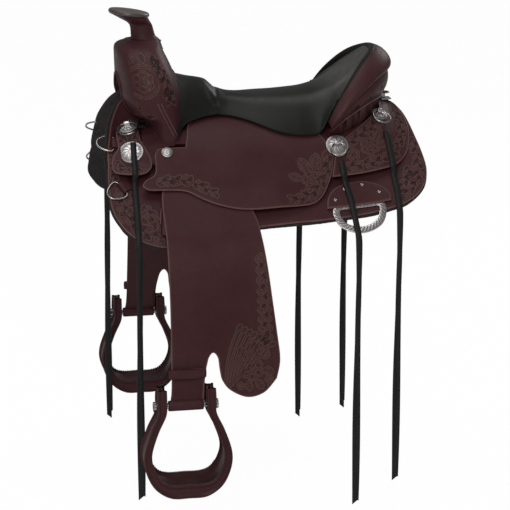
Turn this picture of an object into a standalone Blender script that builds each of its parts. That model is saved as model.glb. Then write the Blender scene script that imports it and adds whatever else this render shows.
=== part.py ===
"""Western trail saddle: tree, ground seat, leather panels, rigging, fenders, stirrups, hardware and strings.

Frame: +X towards the cantle, -X towards the horn, -Y the near (left) side, +Z up. The origin lies on the
middle line of the fleece's underside, where the horse's back is, below the seat's low point.
Lengths below are millimetres and angles are degrees; MM turns them into Blender's metres.

Every leather panel is cut flat, from an outline in (x, s), and then wrapped: x runs along the horse and s is
the distance round its side, measured from the backbone. Panels are bent only along shared bend lines, so
layers that are stacked at different heights above the horse never cut each other.
"""

import math

import bmesh
import bpy
import numpy as np
from mathutils import Matrix, Vector

MM = 0.001
LEFT = -1
RIGHT = 1
SIDES = ((LEFT, "left"), (RIGHT, "right"))

# Thicknesses, and the gap between pieces that touch
GAP = 0.4
FLEECE = 12.0
SKIRT = 5.0
DEE_PLATE = 3.0
RIGGING_COVER = 2.8
STRAP = 4.6
FENDER = 4.4
FENDER_OVERLAP = 0.4
JOCKEY = 4.6
BAR = 27.0

# Heights above the horse's back, from the inside out
SKIRT_LOW = FLEECE + GAP
SKIRT_TOP = SKIRT_LOW + SKIRT
DEE_LOW = SKIRT_TOP + GAP
DEE_TOP = DEE_LOW + DEE_PLATE
RIGGING_TOP = DEE_TOP + GAP + RIGGING_COVER
STRAP_LOW = RIGGING_TOP + GAP
FENDER_LOW = STRAP_LOW + STRAP - FENDER_OVERLAP
FENDER_TOP = FENDER_LOW + FENDER
JOCKEY_LOW = FENDER_TOP + GAP
BAR_LOW = SKIRT_TOP + GAP
BAR_TOP = BAR_LOW + BAR

# The horse's side: where it bends, and how steep it is between the bends
SKIRT_BENDS = (0.0, 30.0, 60.0, 85.0, 110.0, 290.0, 315.0, 340.0)
SKIRT_SLOPES = (8.0, 18.0, 29.0, 38.0, 45.0, 54.0, 62.0)
# The same side below the hanging fender, which leaves the skirt's edge and falls plumb
HANGING_BENDS = (0.0, 30.0, 60.0, 85.0, 110.0, 325.0, 350.0, 375.0, 400.0, 425.0, 700.0)
HANGING_SLOPES = (8.0, 18.0, 29.0, 38.0, 45.0, 55.0, 64.0, 72.0, 78.0, 82.0)
# Rise of the horse's backbone from its flat middle towards the withers and the loin
SPINE = ((-345.0, 6.0), (-285.0, 0.0), (100.0, 0.0), (215.0, 8.0), (300.0, 21.0), (400.0, 38.0))

# Stirrup leathers: where they swing at the bar, and where the fender folds up off the skirt
PIVOT_X, PIVOT_S = -178.0, 152.0
STRAP_WIDTH = 74.0
STRAP_X = -201.0
FOLD_S = 325.0
FOLD_GAP = 0.8

# Stirrup, measured from its bolt
BOLT_S = 655.0
BOLT_RADIUS = 6.0
BOLT_PLAY = 0.5
EYE_WALL = 4.5
EYE_WIDTH = 72.0

# Hardware
DEE_WIDTH = 112.0
DEE_BAND = 15.0
DEE_LENGTH = 76.0
REAR_DEE = (186.0, 262.0)
FRONT_DEE = (-168.0, 278.0)
WIRE = 1.9
BREAST_DEE = 36.0
BREAST_REACH = 35.0
TAB_LENGTH = 28.0
TAB_PLAY = 0.45
BAIL_WIDTH = 8.0
RING_HEIGHT = 4.9
STRING_WIDTH = 12.0
STRING_THICKNESS = 6.2

# Where the hardware sits: x, s, the disc's radius, the ring's radius and its hinge above the centre
CONCHOS = (
    ("front", -276.0, 55.0, 24.0, 21.0, 4.0), ("seat", 156.0, 138.0, 24.0, 16.0, 4.0),
    ("rear", 262.0, 75.0, 17.5, 19.5, 7.0),
)
# Breast dees: x and s of the bar's middle, and how far the ring turns down from straight ahead
BREAST_DEES = (("upper", -311.0, 92.0, 0.0), ("lower", -304.0, 200.0, 37.0))


def plane_of(slope):
    """Outward normal (y, z) of a face that falls at this slope, on the side where y grows."""
    angle = math.radians(slope)
    return np.array((math.sin(angle), math.cos(angle)))


class Side:
    """The horse's side as flat strips between bend lines, and the panels that lie on it."""

    def __init__(self, bends, slopes):
        self.bends = np.array(bends)
        points = [np.zeros(2)]
        for start, end, slope in zip(bends, bends[1:], slopes):
            angle = math.radians(slope)
            step = np.array((math.cos(angle), -math.sin(angle)))
            points.append(points[-1] + (end - start) * step)
        self.points = np.array(points)
        mitres = [np.array((0.0, 1.0))]
        for first, second in zip(slopes, slopes[1:]):
            both = plane_of(first) + plane_of(second)
            mitres.append(2 * both / (both @ both))
        mitres.append(plane_of(slopes[-1]))
        self.mitres = np.array(mitres)
        self.slopes = slopes

    def across(self, s, height):
        """(y, z) at distance s round the side and this height above it, without the spine's rise."""
        lines = self.points + height * self.mitres
        index = int(np.clip(np.searchsorted(self.bends, s, side="right") - 1, 0, len(self.bends) - 2))
        start, end = self.bends[index], self.bends[index + 1]
        part = (s - start) / (end - start)
        return lines[index] + part * (lines[index + 1] - lines[index])

    def slope_at(self, s):
        index = int(np.clip(np.searchsorted(self.bends, s, side="right") - 1, 0, len(self.slopes) - 1))
        return self.slopes[index]


SKIRT_SIDE = Side(SKIRT_BENDS, SKIRT_SLOPES)
HANGING_SIDE = Side(HANGING_BENDS, HANGING_SLOPES)
FLAT_SIDE = Side((0.0, 30.0, 60.0, 85.0, 110.0, 600.0), (8.0, 18.0, 29.0, 38.0, 45.0))


def spine_rise(x):
    """Piecewise straight rise of the backbone at x, carried on past its ends."""
    stations = [point[0] for point in SPINE]
    index = int(np.clip(np.searchsorted(stations, x, side="right") - 1, 0, len(SPINE) - 2))
    (x0, z0), (x1, z1) = SPINE[index], SPINE[index + 1]
    return z0 + (x - x0) * (z1 - z0) / (x1 - x0)


def place(side_shape, x, s, height, side):
    """World point, in millimetres, of the panel coordinates (x, s) at a height above the horse."""
    y, z = side_shape.across(abs(s), height)
    y *= side if s >= 0 else -side
    return np.array((x, y, z + spine_rise(x)))


# The raised panels: how far the tree lifts them, at shared stations along x and s
RAISE_X = (-345.0, -285.0, -240.0, -215.0, 20.0, 100.0, 170.0, 215.0, 262.0, 300.0, 400.0)
RAISE_S = (0.0, 30.0, 60.0, 85.0, 110.0, 137.0, 165.0, 215.0, 265.0, 290.0, 315.0, 340.0)


def over_bar(x):
    """How much of the bar's height lies under a raised panel at x: all of it, or less past the bar's tips."""
    stations = (-345.0, -285.0, -240.0, -215.0, 215.0, 262.0, 300.0)
    return float(np.interp(x, stations, (0.0, 0.2, 0.75, 1.0, 1.0, 0.66, 0.0)))


def over_strap(x):
    """1 where a raised panel passes over the swinging stirrup leather, and 0 where it lies on the skirt."""
    return float(np.interp(x, (-345.0, -285.0, 20.0, 100.0), (0.0, 1.0, 1.0, 0.0)))


def panel_floor(x, s):
    """Height of the raised panels' underside at a station."""
    skirt = SKIRT_TOP + GAP
    strap = skirt + (JOCKEY_LOW - skirt) * over_strap(x) * float(np.interp(s, (137.0, 165.0), (0.0, 1.0)))
    crest = float(np.interp(s, (110.0, 137.0, 165.0, 215.0, 265.0), (1.0, 0.98, 0.82, 0.42, 0.0)))
    bar = skirt + (BAR_TOP + GAP - skirt) * over_bar(x) * crest
    return max(strap, bar)


def panel_top(x, s):
    return panel_floor(x, s) + JOCKEY


def bar_crest(x, s):
    """Height of the tree bar's upper side: full along its middle, thin along its edges and at its tips."""
    across = float(np.interp(s, (30.0, 60.0, 85.0, 137.0, 165.0), (0.35, 0.8, 1.0, 0.95, 0.55)))
    return BAR_LOW + BAR * across * over_bar(x)


def new_material(name, colour, roughness, metallic=0.0):
    material = bpy.data.materials.new(name)
    material.use_nodes = True
    shader = material.node_tree.nodes["Principled BSDF"]
    shader.inputs["Base Color"].default_value = (*colour, 1.0)
    shader.inputs["Roughness"].default_value = roughness
    shader.inputs["Metallic"].default_value = metallic
    material.diffuse_color = (*colour, 1.0)
    return material


def curve_through(points, steps=4, closed=True):
    """Points read from a smooth curve through these ones. A third value of 1 makes a point a sharp corner."""
    flat = [np.array(point[:2], float) for point in points]
    sharp = [len(point) > 2 for point in points]
    count = len(flat)
    found = []
    last = count if closed else count - 1
    for i in range(last):
        j = (i + 1) % count
        before = flat[i] if sharp[i] or (not closed and i == 0) else flat[i - 1]
        after = flat[j] if sharp[j] or (not closed and j == count - 1) else flat[(j + 1) % count]
        run = 1 if sharp[i] and sharp[j] else steps
        for k in range(run):
            t = k / run
            found.append(
                0.5
                * (
                    2 * flat[i]
                    + (flat[j] - before) * t
                    + (2 * before - 5 * flat[i] + 4 * flat[j] - after) * t**2
                    + (3 * flat[i] - before - 3 * flat[j] + after) * t**3
                )
            )
    if not closed:
        found.append(flat[-1])
    return found


def outset(points, distance):
    """A closed outline moved outwards by this distance."""
    ring = np.array(points)
    area = np.sum(ring[:, 0] * np.roll(ring[:, 1], -1) - np.roll(ring[:, 0], -1) * ring[:, 1])
    ahead = np.roll(ring, -1, axis=0) - np.roll(ring, 1, axis=0)
    ahead /= np.linalg.norm(ahead, axis=1)[:, None]
    outward = np.stack((ahead[:, 1], -ahead[:, 0]), axis=1) * (1 if area > 0 else -1)
    return list(ring + distance * outward)


def finish(name, mesh_data, material, smooth=35.0):
    """A new object from a bmesh in millimetres, with its faces pointing out."""
    bmesh.ops.recalc_face_normals(mesh_data, faces=mesh_data.faces)
    bmesh.ops.scale(mesh_data, vec=(MM, MM, MM), verts=mesh_data.verts)
    mesh = bpy.data.meshes.new(name)
    mesh_data.to_mesh(mesh)
    mesh_data.free()
    mesh.shade_smooth()
    mesh.set_sharp_from_angle(angle=math.radians(smooth))
    made = bpy.data.objects.new(name, mesh)
    bpy.context.scene.collection.objects.link(made)
    made.data.materials.append(material)
    return made


def cut_flat(sheet, x_lines, s_lines, diagonals):
    """Divides a flat sheet along the bend lines and, where it is lifted, along each cell's diagonal."""
    for axis, lines in ((0, x_lines), (1, s_lines)):
        for line in lines:
            point = [0.0, 0.0, 0.0]
            normal = [0.0, 0.0, 0.0]
            point[axis] = line
            normal[axis] = 1.0
            everything = sheet.verts[:] + sheet.edges[:] + sheet.faces[:]
            bmesh.ops.bisect_plane(sheet, geom=everything, dist=1e-4, plane_co=point, plane_no=normal)
    if not diagonals:
        return
    for x0, x1 in zip(x_lines, x_lines[1:]):
        for s0, s1 in zip(s_lines, s_lines[1:]):
            inside = [f for f in sheet.faces if in_cell(f.calc_center_median(), x0, x1, s0, s1)]
            if not inside:
                continue
            parts = set(inside)
            parts.update(edge for face in inside for edge in face.edges)
            parts.update(vert for face in inside for vert in face.verts)
            across = (s1 - s0, -(x1 - x0), 0.0)
            bmesh.ops.bisect_plane(
                sheet, geom=list(parts), dist=1e-4, plane_co=(x0, s0, 0.0), plane_no=across
            )


def in_cell(centre, x0, x1, s0, s1):
    return x0 < centre.x < x1 and s0 < centre.y < s1


def raise_to(side_shape, x, s, height, side):
    """World point of (x, s) on a lifted panel: straight between the stations of its half of the cell."""
    i = int(np.clip(np.searchsorted(RAISE_X, x, side="right") - 1, 0, len(RAISE_X) - 2))
    j = int(np.clip(np.searchsorted(RAISE_S, abs(s), side="right") - 1, 0, len(RAISE_S) - 2))
    u = (x - RAISE_X[i]) / (RAISE_X[i + 1] - RAISE_X[i])
    v = (abs(s) - RAISE_S[j]) / (RAISE_S[j + 1] - RAISE_S[j])
    corner = (i + 1, j) if u > v else (i, j + 1)
    weights = ((1 - max(u, v), (i, j)), (abs(u - v), corner), (min(u, v), (i + 1, j + 1)))
    total = np.zeros(3)
    for weight, (a, b) in weights:
        station = place(side_shape, RAISE_X[a], RAISE_S[b], height(RAISE_X[a], RAISE_S[b]), 1)
        total += weight * station
    total[1] *= side if s >= 0 else -side
    return total


def panel(name, outline, low, high, side, material, shape=SKIRT_SIDE):
    """A leather panel: the flat outline, divided at the bends, given its thickness and wrapped on the side.

    low and high are heights above the horse: numbers, or functions of a station for a lifted panel.
    """
    raised = callable(low) or callable(high)
    low_at = low if callable(low) else lambda x, s: low
    high_at = high if callable(high) else lambda x, s: high
    sheet = bmesh.new()
    sheet.faces.new([sheet.verts.new((x, s, 0.0)) for x, s in outline])
    x_lines = RAISE_X if raised else [point[0] for point in SPINE]
    s_lines = RAISE_S if raised else list(shape.bends[1:-1])
    cut_flat(sheet, x_lines, s_lines, raised)
    made = bmesh.ops.extrude_face_region(sheet, geom=sheet.faces[:])
    for vert in made["geom"]:
        if isinstance(vert, bmesh.types.BMVert):
            vert.co.z = 1.0
    for vert in sheet.verts:
        height = high_at if vert.co.z > 0.5 else low_at
        x, s = vert.co.x, vert.co.y
        if raised:
            vert.co = raise_to(shape, x, s, height, side)
        else:
            vert.co = place(shape, x, s, height(x, s), side)
    return finish(name, sheet, material)


def loft(name, rings, material, closed=False, smooth=35.0):
    """A skin over rings of equally many points, capped at both ends, or joined end to end when closed."""
    skin = bmesh.new()
    made = [[skin.verts.new(point) for point in ring] for ring in rings]
    count = len(made[0])
    pairs = list(zip(made, made[1:])) + ([(made[-1], made[0])] if closed else [])
    for first, second in pairs:
        for k in range(count):
            after = (k + 1) % count
            skin.faces.new((first[k], first[after], second[after], second[k]))
    if not closed:
        skin.faces.new(made[0])
        skin.faces.new(reversed(made[-1]))
    return finish(name, skin, material, smooth)


def slab(name, top_rows, bottom_rows, material, smooth=35.0):
    """A solid between two grids of rows: the upper surface, the lower one and the walls round them."""
    skin = bmesh.new()
    top = [[skin.verts.new(point) for point in row] for row in top_rows]
    bottom = [[skin.verts.new(point) for point in row] for row in bottom_rows]
    rows, columns = len(top), len(top[0])
    for i in range(rows - 1):
        for k in range(columns - 1):
            for grid in (top, bottom):
                skin.faces.new((grid[i][k], grid[i][k + 1], grid[i + 1][k + 1], grid[i + 1][k]))
        for k in (0, columns - 1):
            skin.faces.new((top[i][k], top[i + 1][k], bottom[i + 1][k], bottom[i][k]))
    for k in range(columns - 1):
        for i in (0, rows - 1):
            skin.faces.new((top[i][k], top[i][k + 1], bottom[i][k + 1], bottom[i][k]))
    return finish(name, skin, material, smooth)


def boolean(target, other, operation):
    """Joins or cuts with another object, which is then removed."""
    modifier = target.modifiers.new(operation.lower(), "BOOLEAN")
    modifier.operation = operation
    modifier.solver = "EXACT"
    modifier.object = other
    bpy.context.view_layer.update()
    graph = bpy.context.evaluated_depsgraph_get()
    mesh = bpy.data.meshes.new_from_object(target.evaluated_get(graph))
    target.modifiers.clear()
    old = target.data
    target.data = mesh
    mesh.name = target.name
    bpy.data.meshes.remove(old)
    bpy.data.objects.remove(other)


def drop_crumbs(made):
    """Removes the small loose bits that a cut leaves beside the piece."""
    skin = bmesh.new()
    skin.from_mesh(made.data)
    left = set(skin.faces)
    groups = []
    while left:
        group = set()
        edge_of_group = [left.pop()]
        while edge_of_group:
            face = edge_of_group.pop()
            group.add(face)
            for edge in face.edges:
                for other in edge.link_faces:
                    if other in left:
                        left.remove(other)
                        edge_of_group.append(other)
        groups.append(group)
    groups.sort(key=lambda group: sum(face.calc_area() for face in group))
    for group in groups[:-1]:
        corners = {vert for face in group for vert in face.verts}
        bmesh.ops.delete(skin, geom=list(corners), context="VERTS")
    skin.to_mesh(made.data)
    skin.free()


def ring_points(centre, radius_x, radius_y, tilt, count, power=2.0):
    """A closed ring, a superellipse, level at tilt 0 and leaning with its front raised by a positive tilt."""
    points = []
    lean = math.radians(tilt)
    for k in range(count):
        angle = 2 * math.pi * k / count
        c, s = math.cos(angle), math.sin(angle)
        x = radius_x * math.copysign(abs(c) ** (2 / power), c)
        y = radius_y * math.copysign(abs(s) ** (2 / power), s)
        points.append((centre[0] + x * math.cos(lean), centre[1] + y, centre[2] - x * math.sin(lean)))
    return points


def sweep(name, path, section, material, closed=False, up=Vector((0.0, 0.0, 1.0))):
    """A section, in (across, up) coordinates, carried along a path whose frames stay level with up."""
    points = [Vector(point) for point in path]
    count = len(points)
    rings = []
    for k, point in enumerate(points):
        if closed:
            ahead = points[(k + 1) % count] - points[k - 1]
        else:
            ahead = points[min(k + 1, count - 1)] - points[max(k - 1, 0)]
        ahead.normalize()
        across = ahead.cross(up).normalized()
        rise = across.cross(ahead)
        rings.append([tuple(point + u * across + w * rise) for u, w in section])
    return loft(name, rings, material, closed)


def circle_section(radius, count=6):
    angles = [2 * math.pi * (k + 0.5) / count for k in range(count)]
    return [(radius * math.cos(a), radius * math.sin(a)) for a in angles]


def local_frame(x, s, height, side, shape=SKIRT_SIDE, turn=0.0):
    """Matrix whose columns are along the horse, down its side and out of it, at a place on a panel."""
    origin = Vector(place(shape, x, s, height, side))
    along = Vector(place(shape, x + 1, s, height, side) - place(shape, x - 1, s, height, side)).normalized()
    down = Vector(place(shape, x, s + 1, height, side) - place(shape, x, s - 1, height, side)).normalized()
    out = side * along.cross(down).normalized()
    down = side * out.cross(along)
    angle = math.radians(turn)
    u = along * math.cos(angle) + down * math.sin(angle)
    v = down * math.cos(angle) - along * math.sin(angle)
    matrix = Matrix.Identity(4)
    for row in range(3):
        matrix[row] = (u[row], v[row], out[row], origin[row])
    return matrix


def surface_frame(x, s, side, radius):
    """The frame of a flat disc of this radius laid on the raised panels, touching their highest point."""
    def spot(dx, ds):
        return Vector(raise_to(SKIRT_SIDE, x + dx, s + ds, panel_top, side))

    reach = 0.7 * radius
    along = (spot(reach, 0.0) - spot(-reach, 0.0)).normalized()
    down = (spot(0.0, reach) - spot(0.0, -reach)).normalized()
    out = side * along.cross(down).normalized()
    down = side * out.cross(along)
    middle = spot(0.0, 0.0)
    rise = 0.0
    for ring in (0.5, 0.8, 1.0):
        for k in range(24):
            angle = math.pi * k / 12
            edge = spot(ring * radius * math.cos(angle), ring * radius * math.sin(angle))
            rise = max(rise, (edge - middle).dot(out))
    origin = middle + (rise + GAP) * out
    matrix = Matrix.Identity(4)
    for row in range(3):
        matrix[row] = (along[row], down[row], out[row], origin[row])
    return matrix


def block(name, size, centre, material):
    """A box, in millimetres."""
    box = bmesh.new()
    bmesh.ops.create_cube(box, size=1.0, matrix=Matrix.Translation(centre) @ Matrix.Diagonal((*size, 1.0)))
    return finish(name, box, material)


def rod(name, radius, ends, material, sides=16):
    """A round bar between two points, in millimetres."""
    start, end = Vector(ends[0]), Vector(ends[1])
    turned = (end - start).to_track_quat("Z", "Y").to_matrix().to_4x4()
    matrix = Matrix.Translation((start + end) / 2) @ turned
    bar = bmesh.new()
    depth = (end - start).length
    bmesh.ops.create_cone(
        bar, cap_ends=True, segments=sides, radius1=radius, radius2=radius, depth=depth, matrix=matrix
    )
    return finish(name, bar, material)


def moved(made, matrix):
    """Carries an object's mesh by a matrix in millimetres, keeping its faces pointing out when it mirrors."""
    scaled = matrix.copy()
    scaled.translation *= MM
    made.data.transform(scaled)
    if matrix.determinant() < 0:
        made.data.flip_normals()
    return made


# Outlines, cut flat, in (x, s)
SKIRT_OUTLINE = (
    (-262, 36), (-296, 52), (-322, 86), (-327, 140), (-331, 190), (-330, 246), (-316, 285), (-292, 310),
    (-258, 326), (-222, 333), (-180, 324), (-110, 308), (-30, 301), (60, 295), (166, 292), (250, 287),
    (284, 282), (316, 266), (337, 238), (344, 205), (340, 160), (330, 105), (320, 45), (312, 3, 1),
    (262, 3, 1), (222, 30), (150, 36), (0, 36), (-150, 36),
)
LOBE_OUTLINE = (
    (-264, 44), (-294, 52), (-303, 70), (-303, 104), (-314, 122), (-321, 148), (-316, 168), (-290, 176),
    (-258, 176), (-241, 163), (-239, 142), (-246, 118), (-255, 92), (-257, 60),
)
SIDE_JOCKEY_OUTLINE = (
    (-263, 206), (-256, 192), (-237, 180), (-232, 160), (-231, 135), (-224, 121, 1), (-166, 121, 1),
    (-160, 100), (-152, 70), (-132, 50), (-100, 39), (-68, 36), (-28, 50), (0, 63), (32, 78), (72, 88),
    (108, 90), (126, 110), (136, 129, 1), (151, 130, 1), (146, 160), (135, 203), (106, 249), (60, 265),
    (-25, 273), (-78, 269), (-120, 255), (-149, 239), (-177, 222), (-222, 218), (-250, 216),
)
REAR_JOCKEY_OUTLINE = (
    (137, 204, 1), (148, 160), (153, 130, 1), (172, 121), (194, 109), (216, 96), (240, 78), (264, 55),
    (279, 30), (284, 3, 1), (308, 3, 1), (316, 50), (322, 110), (311, 158), (288, 186), (262, 197),
    (200, 203),
)
BAR_OUTLINE = (
    (-253, 100), (-244, 64), (-215, 50), (-100, 48), (100, 48), (222, 52), (250, 70), (260, 105), (250, 142),
    (215, 160), (100, 165), (-100, 165), (-215, 160), (-244, 138),
)
PLATE_OUTLINE = (
    (-68, 286, 1), (-61, 250), (-36, 222), (14, 214), (52, 236), (68, 262), (70, 286, 1),
)
FENDER_HEAD_OUTLINE = (
    (-228, 324.6, 1), (-230, 250), (-222, 215), (-195, 205), (-120, 205), (-75, 215), (-50, 240), (-36, 290),
    (-31, 324.6, 1),
)
FENDER_OUTLINE = (
    (-31, 325.4, 1), (-20, 418), (-9, 514), (-4, 571), (-12, 610), (-39, 638), (-74, 646), (-109, 630),
    (-126, 608), (-131, 585), (-134, 561), (-143, 550), (-152, 559), (-158, 577), (-164, 605), (-167, 640),
    (-167, 656, 1), (-239, 656, 1), (-232, 628), (-230, 550), (-229, 472), (-229, 391), (-226, 325.4, 1),
)

# The seat, row by row: the spine's x and z, then the edge's x, y and z
SEAT_ROWS = (
    (-166, 118, -180, 133, 5), (-140, 112, -160, 105, 25), (-105, 105, -130, 90, 34), (-85, 90, -100, 80, 39),
    (-60, 79, -68, 79, 38), (-30, 75, -30, 94, 30), (0, 75, 0, 112, 20), (40, 76, 36, 129, 8),
    (80, 79, 75, 137, 1), (120, 84, 118, 136, 2), (165, 97, 133, 133, 22), (205, 122, 142, 131, 42),
    (238, 150, 150, 129, 58), (254, 163, 158, 128, 68),
)
# The cantle's rim at one half: x, y, z, then the base of its back, outwards and down, and the roll's size
CANTLE_RIM = (
    (257, 0, 166, 27, 111, 1.0), (247, 40, 161, 25, 104, 0.97), (219, 80, 141, 26, 86, 0.86),
    (186, 112, 104, 13, 68, 0.68), (158, 128, 62, 5, 47, 0.5), (141, 133, 28, 2, 28, 0.35),
)
# The fork, level by level: height, front and rear x, half-width
FORK_LEVELS = (
    (-60, -235, -160, 132), (20, -235, -160, 132), (50, -272, -157, 136), (80, -287, -160, 138),
    (115, -289, -168, 132), (150, -291, -182, 112), (180, -291, -196, 75), (192, -272, -200, 38),
)
# The horn's wrap, level by level: centre x, height, radius along and across, lean
HORN_LEVELS = (
    (-228, 176, 37, 35, 0), (-228, 192, 31, 28, 0), (-232, 202, 26, 23, 2), (-237, 224, 25, 22, 5),
    (-251, 236, 34, 34, 8), (-262, 245, 41, 41, 8),
)
# The stirrup's half: outer x and z, inner x and z, depth. The tread is straight between the marked points
STIRRUP_LEVELS = (
    (60, 38, 41, 38, 42), (61, 13, 41, 13, 46), (61, -14, 43, -14, 48), (77, -50, 60, -50, 54),
    (91, -95, 74, -93, 64), (88, -130, 70, -124, 74), (70, -165, 55, -149, 82), (38, -186, 33, -158, 86, 1),
    (0, -188, 0, -158, 86, 1),
)


def clearance(outline, low, high, side):
    """A cutter that leaves room round a panel."""
    around = outset(outline, 0.5)
    low_at = low if callable(low) else lambda x, s: low
    high_at = high if callable(high) else lambda x, s: high
    return panel("cut", around, lambda x, s: low_at(x, s) - GAP, lambda x, s: high_at(x, s) + GAP, side, None)


def room_over(height, x0, x1, side):
    """A cutter that fills everything below a height over the horse, between two stations along it."""
    outline = ((x0, -4), (x1, -4), (x1, 230), (x0, 230))
    return panel("cut", outline, lambda x, s: -30.0, lambda x, s: height(x, s) + GAP, side, None)


def fork_form(name, grow, material):
    rings = []
    for z, front, rear, half in FORK_LEVELS:
        centre = ((front + rear) / 2, 0.0, z + (grow if z > 190 else 0.0) - (3 * abs(grow) if z < 0 else 0.0))
        rings.append(ring_points(centre, (rear - front) / 2 + grow, half + grow, 0.0, 24, 2.6))
    return loft(name, rings, material, smooth=50.0)


def gullet_cutter():
    half, crown, spring = 55.0, 50.0, 75.0
    angles = [math.pi * k / 12 for k in range(13)]
    profile = [(half * math.cos(a), spring + crown * math.sin(a)) for a in angles]
    profile = [(half, -90.0), *profile, (-half, -90.0)]
    return loft("cut", [[(x, y, z) for y, z in profile] for x in (-340.0, -100.0)], None)


def build_fork(wood, leather, steel):
    core = fork_form("tree_fork", -6.0, wood)
    boolean(core, gullet_cutter(), "DIFFERENCE")
    cover = fork_form("fork_cover", 0.0, leather)
    boolean(cover, gullet_cutter(), "DIFFERENCE")
    for side, _ in SIDES:
        boolean(core, room_over(bar_crest, -320, -120, side), "DIFFERENCE")
        boolean(cover, room_over(bar_crest, -320, -120, side), "DIFFERENCE")
    boolean(cover, fork_form("cut", -4.8, None), "DIFFERENCE")
    drop_crumbs(core)
    drop_crumbs(cover)
    foot, head = (-224, 0, 166), (-241, 0, 238)
    post = rod("horn_core", 12.0, (foot, head), steel, 20)
    lean = Vector(head) - Vector(foot)
    room = (Vector(foot) - 0.01 * lean, Vector(head) + 0.01 * lean)
    boolean(core, rod("cut", 12.0 + GAP, room, None, 20), "DIFFERENCE")
    boolean(cover, rod("cut", 12.0 + GAP, room, None, 20), "DIFFERENCE")
    rings = [ring_points((x, 0.0, z), rx, ry, lean_by, 24) for x, z, rx, ry, lean_by in HORN_LEVELS]
    wrap = loft("horn_wrap", rings, leather, smooth=50.0)
    boolean(wrap, fork_form("cut", GAP, None), "DIFFERENCE")
    boolean(wrap, rod("cut", 12.0 + GAP, room, None, 20), "DIFFERENCE")
    rings = []
    for rise, radius in ((0.0, 41.5), (1.5, 43.0), (6.5, 43.5), (8.6, 42.0), (9.2, 39.0)):
        lean_by = math.radians(8.0)
        centre = (-262 + math.sin(lean_by) * (rise + GAP), 0.0, 245 + math.cos(lean_by) * (rise + GAP))
        rings.append(ring_points(centre, radius, radius, 8.0, 32))
    loft("horn_cap", rings, leather, smooth=30.0)
    return post


def seat_point(row, v, lift=0.0):
    xs, zs, xe, ye, ze = row
    out = abs(v)
    return np.array((xe + (xs - xe) * (1 - out**2.4), ye * v, zs + (ze - zs) * out**2.2 + lift))


def seat_grids(columns, rows, lift, thick_at):
    """The upper surface and the one below it, offset square to the surface, as grids of points."""
    top = np.array([[seat_point(row, v, lift) for v in columns] for row in rows])
    along = np.gradient(top, axis=0)
    across = np.gradient(top, axis=1)
    normal = np.cross(along, across)
    normal /= np.linalg.norm(normal, axis=2)[:, :, None]
    thick = np.array([[thick_at(i, v) for v in columns] for i in range(len(rows))])
    return top, top - normal * thick[:, :, None]


def seat_thickness(i, v):
    end = 0.45 if i in (0, len(SEAT_ROWS) - 1) else 1.0
    return (4.0 + 12.0 * (1 - abs(v) ** 3)) * end


def build_seat(black, leather):
    columns = [math.sin(math.pi / 2 * k / 8) for k in range(-8, 9)]
    top, bottom = seat_grids(columns, SEAT_ROWS, 0.0, seat_thickness)
    seat = slab("seat", top, bottom, black, smooth=60.0)
    boolean(seat, fork_form("cut", GAP, None), "DIFFERENCE")
    for side, _ in SIDES:
        for outline in (SIDE_JOCKEY_OUTLINE, REAR_JOCKEY_OUTLINE):
            boolean(seat, clearance(curve_through(outline, 2), panel_floor, panel_top, side), "DIFFERENCE")
    drop_crumbs(seat)

    under = seat_grids(columns, SEAT_ROWS, 0.0, lambda i, v: seat_thickness(i, v) + 2 * GAP)[1]
    under = under[1:9, 5:12]
    below = under.copy()
    below[:, :, 2] -= 8.0
    below[:, (0, 1, -2, -1), 2] -= 32.0
    ground = slab("ground_seat", under, below, leather)
    for side, _ in SIDES:
        boolean(ground, room_over(bar_crest, -200, 160, side), "DIFFERENCE")
        jockey = curve_through(SIDE_JOCKEY_OUTLINE, 2)
        boolean(ground, clearance(jockey, panel_floor, panel_top, side), "DIFFERENCE")
    drop_crumbs(ground)


def seat_clearance():
    columns = [1.006 * math.sin(math.pi / 2 * k / 8) for k in range(-8, 9)]
    top, bottom = seat_grids(columns, SEAT_ROWS, GAP, lambda i, v: seat_thickness(i, v) + 2 * GAP)
    return slab("cut", top, bottom, None)


def cantle_stations():
    """Rim points from the near end to the far one, each with its outward direction in plan and its sizes."""
    half = [np.array(row, float) for row in CANTLE_RIM]
    rows = [row * (1, -1, 1, 1, 1, 1) for row in reversed(half[1:])] + half
    found = []
    for k, row in enumerate(rows):
        ahead = rows[min(k + 1, len(rows) - 1)][:2] - rows[max(k - 1, 0)][:2]
        outward = np.array((ahead[1], -ahead[0])) / np.linalg.norm(ahead)
        found.append((row[:3], outward, *row[3:]))
    return found


def at_station(rim, outward, out, rise):
    return (rim[0] + outward[0] * out, rim[1] + outward[1] * out, rim[2] + rise)


def cantle_roll(name, grow, material):
    rings = []
    tilt = math.radians(42.0)
    for rim, outward, _, _, size in cantle_stations():
        ring = []
        for k in range(16):
            angle = 2 * math.pi * k / 16
            a = (30.0 * size + grow) * math.cos(angle)
            b = (17.0 * size + grow) * math.sin(angle)
            out = 24.0 * size + a * math.cos(tilt) + b * math.sin(tilt)
            rise = -22.0 * size - a * math.sin(tilt) + b * math.cos(tilt)
            ring.append(at_station(rim, outward, out, rise))
        rings.append(ring)
    return loft(name, rings, material, smooth=50.0)


def cantle_wall(name, inwards, thickness, start, material, ends=0):
    """A wall under the cantle's roll, this far inside its back, with its foot carried on downwards.

    start is the share of its height left off at the top, and ends how many stations it stops short.
    """
    rings = []
    stations = cantle_stations()
    for rim, outward, base, drop, size in stations[ends:len(stations) - ends]:
        outer = []
        for k in range(5):
            w = start + (1 - start) * k / 4
            out = 36.0 * size * (1 - w) + base * w + 12.0 * size * math.sin(math.pi * w) - inwards
            outer.append((out, -30.0 * size * (1 - w) - drop * w))
        outer.append((base - inwards - 2.0, -drop - 40.0))
        section = outer + [(out - thickness, rise) for out, rise in reversed(outer)]
        rings.append([at_station(rim, outward, out, rise) for out, rise in section])
    return loft(name, rings, material, smooth=50.0)


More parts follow.
